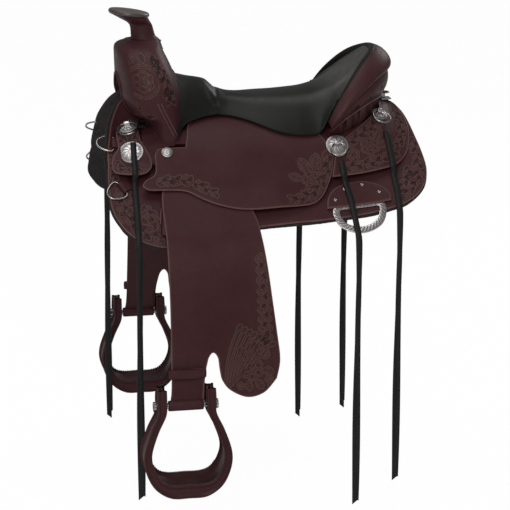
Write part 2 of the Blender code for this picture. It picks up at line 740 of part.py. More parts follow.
def build_cantle(wood, leather):
    roll = cantle_roll("cantle_roll", 0.0, leather)
    boolean(roll, seat_clearance(), "DIFFERENCE")
    back = cantle_wall("cantle_back", 0.0, 9.0, 0.0, leather)
    boolean(back, cantle_roll("cut", 2 * GAP, None), "DIFFERENCE")
    boolean(back, seat_clearance(), "DIFFERENCE")
    board = cantle_wall("tree_cantle", 11.0, 11.0, 0.25, wood, ends=2)
    for side, _ in SIDES:
        boolean(roll, room_over(panel_top, 60, 380, side), "DIFFERENCE")
        boolean(back, room_over(panel_top, 60, 380, side), "DIFFERENCE")
        boolean(board, room_over(bar_crest, 60, 380, side), "DIFFERENCE")
        for outline in (SIDE_JOCKEY_OUTLINE, REAR_JOCKEY_OUTLINE):
            jockey = curve_through(outline, 2)
            boolean(board, clearance(jockey, panel_floor, panel_top, side), "DIFFERENCE")
    for made in (roll, back, board):
        drop_crumbs(made)


def dee_outline(centre, grow):
    """A rigging dee's outline: a straight bar at the top and a round bottom."""
    x, top = centre
    half = DEE_WIDTH / 2 + grow
    length = DEE_LENGTH + 2 * grow
    top -= grow
    points = (
        (x - half + 8, top, 1), (x + half - 8, top, 1), (x + half, top + 8), (x + half, top + 24),
        (x + 0.72 * half, top + 0.8 * length), (x, top + length), (x - 0.72 * half, top + 0.8 * length),
        (x - half, top + 24), (x - half, top + 8),
    )
    return curve_through(points, 3)


def rigging_dee(name, centre, side, steel):
    made = panel(name, dee_outline(centre, 0.0), DEE_LOW, DEE_TOP, side, steel, FLAT_SIDE)
    hole = panel("cut", dee_outline(centre, -DEE_BAND), DEE_LOW - 5, DEE_TOP + 5, side, None, FLAT_SIDE)
    boolean(made, hole, "DIFFERENCE")
    return made


def build_rigging(leather, steel, skirts):
    """The rear plate with its dee, and the front plate, which is sewn to the skirt, with the front dee."""
    for side, word in SIDES:
        for place_word, centre in (("front", FRONT_DEE), ("rear", REAR_DEE)):
            x, top = centre
            rigging_dee(f"rigging_dee_{place_word}_{word}", centre, side, steel)
            scale = (top + 10 - 214) / 72
            shrink = min(scale, 1.0)
            outline = [(x + a, top + 10 + (b - 286) * shrink, *c) for a, b, *c in PLATE_OUTLINE]
            outline = curve_through(outline, 3)
            room = dee_outline(centre, GAP)
            if place_word == "rear":
                plate = panel(f"rigging_plate_{word}", outline, DEE_LOW, RIGGING_TOP, side, leather)
                low = DEE_LOW - 1.0
            else:
                plate = panel("join", outline, SKIRT_TOP - 1.0, RIGGING_TOP, side, None)
                boolean(skirts[side], plate, "UNION")
                plate = skirts[side]
                low = SKIRT_TOP + 0.1
            boolean(plate, panel("cut", room, low, DEE_TOP + GAP, side, None, FLAT_SIDE), "DIFFERENCE")
            drop_crumbs(plate)


def dee_path():
    """A breast dee's wire: a straight bar and a round bow, in (along the bar, away from it)."""
    half = BREAST_DEE / 2
    points = (
        (-half + 2, 0, 1), (half - 2, 0, 1), (half + 2.5, 5), (0.92 * half + 2, 0.5 * BREAST_REACH),
        (0.55 * half, 0.9 * BREAST_REACH), (0, BREAST_REACH), (-0.55 * half, 0.9 * BREAST_REACH),
        (-0.92 * half - 2, 0.5 * BREAST_REACH), (-half - 2.5, 5),
    )
    return curve_through(points, 2)


def build_breast_dees(steel, skirts):
    height = SKIRT_TOP + WIRE + 1.5
    path = [(0.0 - b, a, 0.0) for a, b in dee_path()]
    for side, word in SIDES:
        for level, x, s, turn in BREAST_DEES:
            frame = local_frame(x, s, height, side, turn=-turn)
            made = sweep(f"breast_dee_{level}_{word}", path, circle_section(WIRE), steel, closed=True)
            moved(made, frame)
            set_origin(made, frame.translation)
            rise = WIRE + TAB_PLAY + 2.2
            low = height - SKIRT_TOP + 1.0
            tab = block("join", (9.4, TAB_LENGTH, rise + low), (0, 0, (rise - low) / 2), None)
            boolean(skirts[side], moved(tab, frame), "UNION")
            ends = ((0, -TAB_LENGTH, 0), (0, TAB_LENGTH, 0))
            boolean(skirts[side], moved(rod("cut", WIRE + TAB_PLAY, ends, None), frame), "DIFFERENCE")


def set_origin(made, point):
    """Puts an object's origin on its joint, at a point in millimetres."""
    at = Vector(point) * MM
    made.data.transform(Matrix.Translation(-at))
    made.location = at


def build_conchos(silver):
    """Discs with a band over a ring's wire, and the rings, which swing up from lying on the leather."""
    for side, word in SIDES:
        for name, x, s, radius, ring_radius, above in CONCHOS:
            frame = surface_frame(x, s, side, radius)
            levels = (
                (0.0, radius), (0.9, radius), (1.8, 0.93 * radius), (2.4, 0.7 * radius), (2.6, 0.5 * radius)
            )
            rings = [ring_points((0, 0, z), r, r, 0.0, 24) for z, r in levels]
            disc = loft(f"concho_{name}_{word}", rings, silver)
            top = RING_HEIGHT + WIRE + 0.8
            band = block("join", (BAIL_WIDTH, 9.8, top + 1.7 - 1.0), (0, -above, (top + 1.7 + 1.0) / 2), None)
            boolean(disc, band, "UNION")
            window = block("cut", (40, 5.6, top - 2.9), (0, -above + 0.2, (top + 2.9) / 2), None)
            boolean(disc, window, "DIFFERENCE")
            moved(disc, frame)
            turns = [2 * math.pi * k / 20 for k in range(20)]
            path = [
                (ring_radius * math.sin(a), -above + ring_radius * (1 - math.cos(a)), RING_HEIGHT)
                for a in turns
            ]
            ring = moved(
                sweep(f"concho_ring_{name}_{word}", path, circle_section(WIRE - 0.2), silver, closed=True),
                frame
            )
            set_origin(ring, frame @ Vector((0.0, -above, RING_HEIGHT)))


def build_leathers(leather):
    """Each stirrup leather with the top of its fender, and the fender below the fold with the bolt's eye."""
    for side, word in SIDES:
        arc = [math.pi * (1 + k / 10) for k in range(11)]
        reach = STRAP_WIDTH / 2
        outline = [(PIVOT_X + reach * math.cos(a), PIVOT_S + reach * math.sin(a)) for a in arc]
        outline += [(STRAP_X + reach, FOLD_S - 0.4), (STRAP_X - reach, FOLD_S - 0.4)]
        strap = panel(
            f"stirrup_leather_{word}", outline, STRAP_LOW, STRAP_LOW + STRAP, side, leather, HANGING_SIDE
        )
        outline = curve_through(FENDER_HEAD_OUTLINE, 3)
        head = panel("join", outline, FENDER_LOW, FENDER_TOP, side, None, HANGING_SIDE)
        boolean(strap, head, "UNION")
        set_origin(strap, place(HANGING_SIDE, PIVOT_X, PIVOT_S, STRAP_LOW, side))
        outline = curve_through(FENDER_OUTLINE, 3)
        fender = panel(f"fender_{word}", outline, FENDER_LOW, FENDER_TOP, side, leather, HANGING_SIDE)
        bolt = bolt_point(side)
        half = EYE_WIDTH / 2
        ends = (bolt - (half, 0, 0), bolt + (half, 0, 0))
        eye = rod("join", BOLT_RADIUS + BOLT_PLAY + EYE_WALL, ends, None, 24)
        boolean(fender, eye, "UNION")
        bore = rod("cut", BOLT_RADIUS + BOLT_PLAY, (bolt - (80, 0, 0), bolt + (80, 0, 0)), None, 24)
        boolean(fender, bore, "DIFFERENCE")
        set_origin(fender, place(HANGING_SIDE, STRAP_X, FOLD_S, FENDER_TOP, side))


def bolt_point(side):
    return place(HANGING_SIDE, STRAP_X - 2.0, BOLT_S, (FENDER_LOW + FENDER_TOP) / 2, side)


def build_stirrups(leather, steel):
    marks = [tuple(row[5:]) for row in STIRRUP_LEVELS]
    half = len(STIRRUP_LEVELS)
    for side, word in SIDES:
        bolt = bolt_point(side)
        outer = curve_through([(row[0], row[1], *mark) for row, mark in zip(STIRRUP_LEVELS, marks)], 2, False)
        inner = curve_through([(row[2], row[3], *mark) for row, mark in zip(STIRRUP_LEVELS, marks)], 2, False)
        depth = curve_through([(row[4], 0, *mark) for row, mark in zip(STIRRUP_LEVELS, marks)], 2, False)
        rings = []
        for (xo, zo), (xi, zi), (d, _) in zip(outer, inner, depth):
            rings.append(stirrup_section(np.array((xo, zo)), np.array((xi, zi)), d))
        mirrored = [[(-x, y, z) for x, y, z in ring] for ring in reversed(rings[:-1])]
        made = loft(f"stirrup_{word}", rings + mirrored, leather, smooth=40.0)
        made.data.transform(Matrix.Translation(Vector(bolt) * MM))
        hole = rod("cut", BOLT_RADIUS + BOLT_PLAY, (bolt - (90, 0, 0), bolt + (90, 0, 0)), None, 20)
        boolean(made, hole, "DIFFERENCE")
        set_origin(made, bolt)
        across = 61.4
        ends = (bolt - (across + 3, 0, 0), bolt + (across + 3, 0, 0))
        pin = rod(f"stirrup_bolt_{word}", BOLT_RADIUS, ends, steel, 20)
        for sign in (-1, 1):
            ends = (bolt + (sign * across, 0, 0), bolt + (sign * (across + 5.5), 0, 0))
            boolean(pin, rod("join", 10.5, ends, None, 6 if sign > 0 else 20), "UNION")
        set_origin(pin, bolt)


def stirrup_section(outer, inner, depth):
    """Eight corners across the stirrup's band: its outer and inner faces, with the four edges taken off."""
    wall = (outer - inner) / np.linalg.norm(outer - inner)
    cut = 3.5
    half = depth / 2
    corners = (
        (outer, half - cut), (outer - cut * wall, half), (inner + cut * wall, half), (inner, half - cut),
        (inner, cut - half), (inner + cut * wall, -half), (outer - cut * wall, -half), (outer, cut - half),
    )
    return [(point[0], y, point[1]) for point, y in corners]


def build_strings(leather):
    """Pairs of long thongs, each pair one flat bundle: along the leather, over the edge and plumb down."""
    runs = (
        ("front", ((-272, 101), (-276, 178)), ((-277, 188), (-281, 290), (-283, 322)), -735),
        ("seat", ((159, 175), (162, 205)), ((164, 217), (170, 260), (172, 345)), -769),
        ("rear", ((267, 116), (270, 199)), ((271, 210), (272, 262), (270, 288)), -738),
    )
    for side, word in SIDES:
        for name, on_panel, on_skirt, low in runs:
            rings = []
            for (x0, s0), (x1, s1) in (on_panel, *zip(on_skirt, on_skirt[1:])):
                raised = (x0, s0) == on_panel[0]
                steps = max(2, round((s1 - s0) / (7 if raised else 22)))
                for k in range(steps + 1):
                    x, s = x0 + (x1 - x0) * k / steps, s0 + (s1 - s0) * k / steps
                    if rings and k == 0 and not raised:
                        continue
                    rings.append(string_ring(x, s, raised, name == "seat", side))
            last = rings[-1]
            middle = np.mean(last, axis=0)
            out = side * STRING_THICKNESS / 2
            half = STRING_WIDTH / 2
            for drift, rise, away in ((0, -22.0, 6.0), (-2, -120.0, 8.0), (-3, low - middle[2], 8.0)):
                x, y, z = middle[0] + drift, middle[1] + side * away, middle[2] + rise
                rings.append([
                    (x - half, y - out, z), (x + half, y - out, z),
                    (x + half, y + out, z), (x - half, y + out, z),
                ])
            loft(f"strings_{name}_{word}", rings, leather)


def string_ring(x, s, raised, over_plate, side):
    shape = FLAT_SIDE if over_plate else SKIRT_SIDE
    base = RIGGING_TOP if over_plate else SKIRT_TOP
    corners = []
    for sign, up in ((-1, 0.0), (1, 0.0), (1, STRING_THICKNESS), (-1, STRING_THICKNESS)):
        lift = (4 if raised else 2) * GAP + up
        at = x + sign * STRING_WIDTH / 2
        if raised:
            corners.append(raise_to(SKIRT_SIDE, at, s, lambda a, b: panel_top(a, b) + lift, side))
        else:
            corners.append(place(shape, at, s, base + lift, side))
    return corners


def build_crupper(silver):
    """A small plate behind the cantle with a post, and the crupper ring, which folds down from level."""
    frame = Matrix.Translation((298.0, 0.0, 47.2))
    hinge = Vector((-4.5, 0.0, 14.5))
    plate = block("crupper_plate", (21, 26, 3.0), (0, 0, 1.5), silver)
    boolean(plate, block("join", (7.4, 8.0, 16.5), (hinge.x, 0, 9.9), None), "UNION")
    ends = (hinge - Vector((0, 20, 0)), hinge + Vector((0, 20, 0)))
    boolean(plate, rod("cut", WIRE + TAB_PLAY - 0.2, ends, None), "DIFFERENCE")
    moved(plate, frame)
    points = ((-7, 0, 1), (7, 0, 1), (9.5, 3.5), (8, 9), (0, 12.5), (-8, 9), (-9.5, 3.5))
    path = [(hinge.x + b, a, hinge.z) for a, b in curve_through(points, 2)]
    ring = moved(sweep("crupper_ring", path, circle_section(WIRE - 0.2), silver, closed=True), frame)
    set_origin(ring, frame @ hinge)


def cut_bar_recess(bar, side):
    """Room in a tree bar for the rounded end of the swinging stirrup leather."""
    arc = [math.pi * (1 + k / 10) for k in range(11)]
    reach = STRAP_WIDTH / 2 + 3.5
    outline = [(PIVOT_X + reach * math.cos(a), PIVOT_S + reach * math.sin(a)) for a in arc]
    outline += [(PIVOT_X + reach + 12, 190), (PIVOT_X - reach - 28, 190)]
    boolean(bar, panel("cut", outline, RIGGING_TOP, 80.0, side, None, FLAT_SIDE), "DIFFERENCE")


def main():
    for made in list(bpy.data.objects):
        bpy.data.objects.remove(made)
    leather = new_material("dark_leather", (0.075, 0.03, 0.03), 0.5)
    black = new_material("black_leather", (0.02, 0.02, 0.018), 0.45)
    fleece = new_material("fleece", (0.02, 0.018, 0.018), 0.95)
    wood = new_material("tree_wood", (0.35, 0.24, 0.13), 0.6)
    steel = new_material("steel", (0.5, 0.5, 0.5), 0.35, 1.0)
    silver = new_material("engraved_silver", (0.6, 0.58, 0.57), 0.3, 1.0)
    thong = new_material("thong_leather", (0.018, 0.016, 0.016), 0.55)
    outline = curve_through(SKIRT_OUTLINE, 3)
    skirts = {}
    for side, word in SIDES:
        panel(f"fleece_{word}", outset(outline, 2.5), 0.0, FLEECE, side, fleece)
        skirts[side] = panel(f"skirt_{word}", outline, SKIRT_LOW, SKIRT_TOP, side, leather)
        for name, shape in (
            ("front_jockey", LOBE_OUTLINE),
            ("side_jockey", SIDE_JOCKEY_OUTLINE),
            ("rear_jockey", REAR_JOCKEY_OUTLINE),
        ):
            panel(f"{name}_{word}", curve_through(shape, 2), panel_floor, panel_top, side, leather)
        bar = panel(f"tree_bar_{word}", curve_through(BAR_OUTLINE, 2), BAR_LOW, bar_crest, side, wood)
        cut_bar_recess(bar, side)
    build_rigging(leather, steel, skirts)
    build_breast_dees(steel, skirts)
    build_conchos(silver)
    build_leathers(leather)
    build_stirrups(leather, steel)
    build_strings(thong)
    build_crupper(silver)
    build_fork(wood, leather, steel)
    build_seat(black, leather)
    build_cantle(wood, leather)


main()
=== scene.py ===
"""Western trail saddle: leather, silver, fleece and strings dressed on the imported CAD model.

Lengths in the shape functions are millimetres in the model's own frame: +X towards the cantle, -Y the near
side, +Z up. A leather panel is drawn flat in (x, s), s being the distance round the horse from its backbone,
and then wrapped. put() turns millimetres into metres.
"""

import math

import bpy
import numpy as np
from mathutils import Matrix, Vector


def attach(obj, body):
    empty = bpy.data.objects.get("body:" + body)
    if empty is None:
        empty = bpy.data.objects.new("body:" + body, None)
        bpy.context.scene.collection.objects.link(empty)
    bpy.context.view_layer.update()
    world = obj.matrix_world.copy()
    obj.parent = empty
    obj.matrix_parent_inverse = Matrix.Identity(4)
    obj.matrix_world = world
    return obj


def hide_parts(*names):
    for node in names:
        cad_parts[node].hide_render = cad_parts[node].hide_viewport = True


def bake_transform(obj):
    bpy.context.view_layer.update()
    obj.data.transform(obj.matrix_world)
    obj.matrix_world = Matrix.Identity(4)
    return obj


bl_info = {
    "name": "Western saddle dresser",
    "version": (1, 0, 0),
    "blender": (4, 5, 0),
    "location": "3D View > Sidebar > Saddle",
    "description": "Builds the visible leather, hardware and strings of a western trail saddle",
    "category": "Add Mesh",
}

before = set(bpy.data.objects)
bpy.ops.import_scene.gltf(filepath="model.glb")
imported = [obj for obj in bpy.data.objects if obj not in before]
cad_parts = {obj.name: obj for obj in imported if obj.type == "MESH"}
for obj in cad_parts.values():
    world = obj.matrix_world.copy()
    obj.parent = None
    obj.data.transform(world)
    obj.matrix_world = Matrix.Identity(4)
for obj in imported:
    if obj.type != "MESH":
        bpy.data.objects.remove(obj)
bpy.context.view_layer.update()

MM = 0.001
SIDES = ((-1, "left"), (1, "right"))
ROUND_BEND = 12.0
SIDE_LENGTH, SIDE_STEP = 720.0, 0.5

# Heights over the horse, from the inside out
FLEECE_TOP = 12.0
SKIRT_LOW, SKIRT_TOP = 12.4, 17.4
DEE_LOW, DEE_TOP = 17.8, 20.8
PLATE_TOP = 24.0
STRAP_LOW, STRAP_TOP = 24.4, 29.0
FENDER_LOW, FENDER_TOP = 28.6, 33.0
JOCKEY_LOW, JOCKEY = 33.4, 4.6
BAR_TOP = 44.8

# The horse's side
SKIRT_BENDS = (0.0, 30.0, 60.0, 85.0, 110.0, 290.0, 315.0, 340.0)
SKIRT_SLOPES = (8.0, 18.0, 29.0, 38.0, 45.0, 54.0, 62.0)
HANGING_BENDS = (0.0, 30.0, 60.0, 85.0, 110.0, 325.0, 350.0, 375.0, 400.0, 425.0, 700.0)
HANGING_SLOPES = (8.0, 18.0, 29.0, 38.0, 45.0, 55.0, 64.0, 72.0, 78.0, 82.0)
SPINE_X = (-345.0, -285.0, 100.0, 215.0, 300.0, 400.0)
SPINE_Z = (6.0, 0.0, 0.0, 8.0, 21.0, 38.0)
RAISE_X = np.array((-345.0, -285.0, -240.0, -215.0, 20.0, 100.0, 170.0, 215.0, 262.0, 300.0, 400.0))
RAISE_S = np.array((0.0, 30.0, 60.0, 85.0, 110.0, 137.0, 165.0, 215.0, 265.0, 290.0, 315.0, 340.0))

# Outlines, cut flat, in (x, s); a third value of 1 is a sharp corner
SKIRT_OUTLINE = (
    (-262, 36), (-296, 52), (-322, 86), (-327, 140), (-331, 190), (-330, 246), (-316, 285), (-292, 310),
    (-258, 326), (-222, 333), (-180, 324), (-110, 308), (-30, 301), (60, 295), (166, 292), (250, 287),
    (284, 282), (316, 266), (337, 238), (344, 205), (340, 160), (330, 105), (320, 45), (312, 3, 1),
    (262, 3, 1), (222, 30), (150, 36), (0, 36), (-150, 36),
)
LOBE_OUTLINE = (
    (-264, 44), (-294, 52), (-303, 70), (-303, 104), (-314, 122), (-321, 148), (-316, 168), (-290, 176),
    (-258, 176), (-241, 163), (-239, 142), (-246, 118), (-255, 92), (-257, 60),
)
SIDE_JOCKEY_OUTLINE = (
    (-263, 206), (-256, 192), (-237, 180), (-232, 160), (-231, 135), (-224, 121, 1), (-166, 121, 1),
    (-160, 100), (-152, 70), (-132, 50), (-100, 39), (-68, 36), (-28, 50), (0, 63), (32, 78), (72, 88),
    (108, 90), (126, 110), (136, 129, 1), (151, 130, 1), (146, 160), (135, 203), (106, 249), (60, 265),
    (-25, 273), (-78, 269), (-120, 255), (-149, 239), (-177, 222), (-222, 218), (-250, 216),
)
REAR_JOCKEY_OUTLINE = (
    (137, 204, 1), (148, 160), (153, 130, 1), (172, 121), (194, 109), (216, 96), (240, 78), (264, 55),
    (279, 30), (284, 3, 1), (308, 3, 1), (316, 50), (322, 110), (311, 158), (288, 186), (262, 197),
    (200, 203),
)
PLATE_OUTLINE = (
    (-68, 286, 1), (-61, 250), (-36, 222), (14, 214), (52, 236), (68, 262), (70, 286, 1),
)
FENDER_TOP_EDGE = ((-228, 255), (-222, 215), (-195, 205), (-120, 205), (-75, 215), (-50, 240))
FENDER_FOOT = (
    (-239, 656, 1), (-167, 656, 1), (-167, 640), (-164, 605), (-158, 577), (-152, 559), (-143, 550),
    (-134, 561), (-131, 585), (-126, 608), (-109, 630), (-74, 646), (-39, 638), (-12, 610),
)
FENDER_FRONT = ((-228, 255), (-228, 325), (-229, 391), (-229, 472), (-230, 550), (-232, 628), (-239, 656))
FENDER_REAR = ((-50, 240), (-36, 290), (-31, 325), (-20, 418), (-9, 514), (-4, 571), (-12, 610))

SEAT_ROWS = (
    (-166, 118, -180, 133, 5), (-140, 112, -160, 105, 25), (-105, 105, -130, 90, 34), (-85, 90, -100, 80, 39),
    (-60, 79, -68, 79, 38), (-30, 75, -30, 94, 30), (0, 75, 0, 112, 20), (40, 76, 36, 129, 8),
    (80, 79, 75, 137, 1), (120, 84, 118, 136, 2), (165, 97, 133, 133, 22), (205, 122, 142, 131, 42),
    (238, 150, 150, 129, 58), (254, 163, 158, 128, 68),
)
CANTLE_RIM = (
    (257, 0, 166, 27, 111, 1.0), (247, 40, 161, 25, 104, 0.97), (219, 80, 141, 26, 86, 0.86),
    (186, 112, 104, 13, 68, 0.68), (158, 128, 62, 5, 47, 0.5), (141, 133, 28, 2, 28, 0.35),
)
FORK_LEVELS = (
    (-60, -235, -160, 132), (20, -235, -160, 132), (50, -272, -157, 136), (80, -287, -160, 138),
    (115, -289, -168, 132), (150, -291, -182, 112), (180, -291, -196, 75), (192, -272, -200, 38),
)
HORN_LEVELS = (
    (-228, 172, 39, 37, 0), (-228, 176, 37, 35, 0), (-228, 192, 31, 28, 0), (-232, 202, 26, 23, 2),
    (-237, 224, 25, 22, 5), (-251, 236, 34, 34, 8), (-262, 245, 41, 41, 8),
)
HORN_CAP = (
    (20, 0.1), (38, 0.1), (41.5, 0.6), (43.0, 1.9), (43.6, 3.8), (43.4, 6.0), (42.2, 7.9), (40.2, 9.0),
    (38.4, 9.3), (37.4, 9.0), (36.0, 9.2), (30, 9.6), (20, 10.0), (8, 10.2),
)
STIRRUP_LEVELS = (
    (60, 38, 41, 38, 42), (61, 13, 41, 13, 46), (61, -14, 43, -14, 48), (77, -50, 60, -50, 54),
    (91, -95, 74, -93, 64), (88, -130, 70, -124, 74), (70, -165, 55, -149, 82), (38, -186, 33, -158, 86),
    (0, -188, 0, -158, 86),
)
# The cantle roll's middle from the rim, out and up, its two half widths, and its tilt
ROLL_OUT, ROLL_RISE, ROLL_WIDE, ROLL_DEEP = 24.0, -22.0, 30.0, 17.0
ROLL_TILT = math.radians(42.0)
# The fork's rounding as a power, the middle of its top, the shares and rises of the rings there, and how
# thick its leather is
FORK_POWER = 2.6
FORK_TOP = (-236.0, 0.0, 193.0)
FORK_CROWN = ((0.25, 3.0), (0.5, 2.7), (0.72, 2.2), (0.88, 1.4), (0.96, 0.7))
FORK_LEATHER = 4.6
GULLET_HALF, GULLET_CROWN, GULLET_SPRING = 55.0, 50.0, 75.0

# The near side's hardware: origin, then the directions along and down the leather and out of it. The off side
# mirrors it in Y
BREAST_FRAMES = {
    "upper": (
        (-311.0, -97.779, -10.379), (0.995, 0.0, -0.0995),
        (-0.0611, -0.7895, -0.6107), (0.0786, -0.6138, 0.7856),
    ),
    "lower": (
        (-304.0, -178.282, -88.118), (0.8369, 0.4266, 0.3429),
        (0.5428, -0.5661, -0.6204), (0.0705, -0.7053, 0.7053),
    ),
}
CONCHO_FRAMES = {
    "front": (
        (-276.87, -66.32, 19.96), (0.9683, -0.1044, 0.227),
        (-0.0114, -0.926, -0.3774), (-0.2496, -0.3628, 0.8978),
    ),
    "seat": (
        (155.98, -153.26, -20.52), (0.9976, 0.0, 0.0694),
        (0.0532, -0.6426, -0.7643), (-0.0446, -0.7662, 0.6411),
    ),
    "rear": (
        (262.11, -91.56, 30.18), (0.9767, 0.1674, -0.1342),
        (0.077, -0.8573, -0.509), (0.2003, -0.4868, 0.8503),
    ),
}
CONCHO_SIZES = {"front": (24.0, 21.0, 4.0), "seat": (24.0, 16.0, 4.0), "rear": (17.5, 19.5, 7.0)}
RING_HEIGHT = 4.9
# Conchos without a ring: x, s, radius, how far over the leather, and how far sunk along its normal
LOBE_CONCHOS = (("tie", -278.0, 118.0, 26.0, 1.2, 0.3), ("rosette", -206.0, 133.0, 11.5, 0.4, 0.0))
RIVETS = ((138, 254), (161, 230), (200, 224), (233, 248))
CRUPPER_HINGE = (293.5, 0.0, 61.7)
BOLT = (-203.0, 352.541, -507.465)
REAR_DEE = (186.0, 262.0)
FRONT_DEE = (-168.0, 278.0)
# The skirt's front rising to the gullet, near side: along its edge, across its middle and at its root
FLAP_ROWS = (
    (-328, -128, -66, -312, -130, -76, -292, -126, -88), (-327, -118, -40, -310, -114, -58, -290, -106, -72),
    (-319, -97, 2, -308, -94, -20, -292, -86, -40), (-310, -74, 32, -300, -68, 8, -280, -58, -8),
    (-293, -50, 64, -280, -47, 44, -252, -47, 18), (-272, -35, 86, -258, -38, 74, -236, -42, 52),
)
DEE_HALF, DEE_LENGTH, DEE_BAND = 56.0, 76.0, 15.0
STRING_RUNS = (
    ("front", ((-272, 101), (-276, 178)), ((-277, 188), (-281, 290), (-283, 322)), -735),
    ("seat", ((159, 175), (162, 205)), ((164, 217), (170, 260), (172, 345)), -769),
    ("rear", ((267, 116), (270, 199)), ((271, 210), (272, 262), (270, 288)), -738),
)

# How finely the meshes are made: the depths of a panel's outer rings in from its rim, the depth that stands
# for far in, the step of the tooling's grid, and how many points are measured at once
RIM_DEPTHS = np.array((0.0, 0.15, 0.5, 1.0, 1.7, 2.5, 3.5, 4.5, 5.5, 7.0, 9.0, 12.0))
FAR_IN = 40.0
TOOLING_STEP = 1.12
POINTS_AT_ONCE = 4000

# The photograph's view
LOOK_AT = (-7.83, -88.74, -267.62)
VIEW_SIDE, VIEW_DOWN = 11.0, 14.5
VIEW_DISTANCE = 4500.0
LENS = 147.75


# Curves and the horse's side


def unit(vectors):
    """Vectors of length one in the same directions, taken along the last axis."""
    return vectors / np.linalg.norm(vectors, axis=-1, keepdims=True)


def lengths_along(line):
    """The distance travelled along a line, at each of its points."""
    return np.concatenate(([0.0], np.cumsum(np.linalg.norm(np.diff(line, axis=0), axis=1))))


def read_at(places, run, values):
    """Each column of the values, read by straight steps at these places of the run."""
    return np.stack([np.interp(places, run, values[:, k]) for k in range(values.shape[1])], axis=1)


def cubic(p, q, r, n, t):
    """The smooth curve from q to r at the share t: a cubic whose slope at each end is half the step between
    that end's two neighbours."""
    return 0.5 * (2 * q + (r - p) * t + (2 * p - 5 * q + 4 * r - n) * t**2 + (3 * q - p - 3 * r + n) * t**3)


def through(points, steps=10, closed=True):
    """The smooth curve through these points, in this many steps a span. At a sharp corner, and at the ends of
    an open curve, the point itself stands for its far neighbour."""
    flat = np.array([point[:2] for point in points], float)
    sharp = np.array([len(point) > 2 for point in points])
    count = len(flat)
    a = np.arange(count if closed else count - 1)
    b = (a + 1) % count
    before, after = flat[a - 1], flat[(b + 1) % count]
    hold_a, hold_b = sharp[a], sharp[b]
    if not closed:
        hold_a[0] = True
        hold_b[-1] = True
    before[hold_a] = flat[a][hold_a]
    after[hold_b] = flat[b][hold_b]
    t = (np.arange(steps) / steps)[None, :, None]
    curve = cubic(before[:, None], flat[a][:, None], flat[b][:, None], after[:, None], t).reshape(-1, 2)
    return curve if closed else np.vstack((curve, flat[-1:]))


def columns_through(rows, steps):
    """Rows of many values read along smooth curves, each column by itself, with its ends held."""
    rows = np.array(rows, float)
    last = len(rows) - 1
    index = np.linspace(0, last, last * steps + 1)
    i = np.minimum(index.astype(int), last - 1)
    t = (index - i)[:, None]
    return cubic(rows[np.maximum(i - 1, 0)], rows[i], rows[i + 1], rows[np.minimum(i + 2, last)], t)


def evenly(points, count, closed=True):
    """Points spaced evenly along a polyline, read from it by the distance travelled."""
    line = np.vstack((points, points[:1])) if closed else np.asarray(points, float)
    run = lengths_along(line)
    at = np.linspace(0, run[-1], count + 1)[:-1] if closed else np.linspace(0, run[-1], count)
    return read_at(at, run, line)


def ahead_on(line):
    """The direction of travel at each point of a closed line, from its two neighbours."""
    return unit(np.roll(line, -1, axis=0) - np.roll(line, 1, axis=0))


def outward_from(line):
    """At each point of a flat closed line, the direction square to it and away from what it holds."""
    ahead = ahead_on(line)
    area = (line[:, 0] * np.roll(line[:, 1], -1) - np.roll(line[:, 0], -1) * line[:, 1]).sum()
    return np.stack((ahead[:, 1], -ahead[:, 0]), axis=1) * np.sign(area)


def side_table(bends, slopes):
    """The horse's side in short steps: the slope eases from strip to strip over 24 mm at each bend, and the
    section is its running sum. Columns: distance round, across, down and slope."""
    knots = np.array([(bend - ROUND_BEND, bend + ROUND_BEND) for bend in bends[1:-1]]).ravel()
    values = np.array(list(zip(slopes, slopes[1:]))).ravel()
    s = np.arange(0.0, SIDE_LENGTH, SIDE_STEP)
    slope = np.radians(np.interp(s, knots, values))
    y = np.concatenate(([0.0], np.cumsum(SIDE_STEP * np.cos(slope))[:-1]))
    z = -np.concatenate(([0.0], np.cumsum(SIDE_STEP * np.sin(slope))[:-1]))
    return s, y, z, slope


SKIRT_SIDE = side_table(SKIRT_BENDS, SKIRT_SLOPES)
HANGING_SIDE = side_table(HANGING_BENDS, HANGING_SLOPES)
FLAT_SIDE = side_table((0.0, 30.0, 60.0, 85.0, 110.0, 600.0), (8.0, 18.0, 29.0, 38.0, 45.0))


def spine(x):
    """The backbone's rise at x: straight between its stations, with a rise of a tenth forward of the first,
    and its corners eased by averaging over 40 mm."""
    far = np.asarray(x)[..., None] + np.linspace(-20, 20, 9)
    rise = np.interp(far, SPINE_X, SPINE_Z) - 0.1 * np.minimum(far - SPINE_X[0], 0.0)
    return rise.mean(axis=-1)


def wrap(table, x, s, height, side):
    """World points of (x, s) at a height over the horse: the section read at s, moved out along its normal by
    the height, and lifted by the backbone's rise at x."""
    run, across, down, slope = table
    a = np.interp(s, run, slope)
    y = np.interp(s, run, across) + height * np.sin(a)
    z = np.interp(s, run, down) + height * np.cos(a) + spine(x)
    return np.stack(np.broadcast_arrays(x, side * y, z), axis=-1)


def raised_stations():
    """Height of the raised panels' underside at every station of the grid, as in the CAD model."""
    x, s = np.meshgrid(RAISE_X, RAISE_S, indexing="ij")
    skirt = SKIRT_TOP + 0.4
    over_bar = np.interp(x, (-345, -285, -240, -215, 215, 262, 300), (0, 0.2, 0.75, 1, 1, 0.66, 0))
    over_strap = np.interp(x, (-345, -285, 20, 100), (0, 1, 1, 0))
    strap = skirt + (JOCKEY_LOW - skirt) * over_strap * np.interp(s, (137, 165), (0, 1))
    crest = np.interp(s, (110, 137, 165, 215, 265), (1, 0.98, 0.82, 0.42, 0))
    return np.maximum(strap, skirt + (BAR_TOP + 0.4 - skirt) * over_bar * crest)


STATIONS = raised_stations()


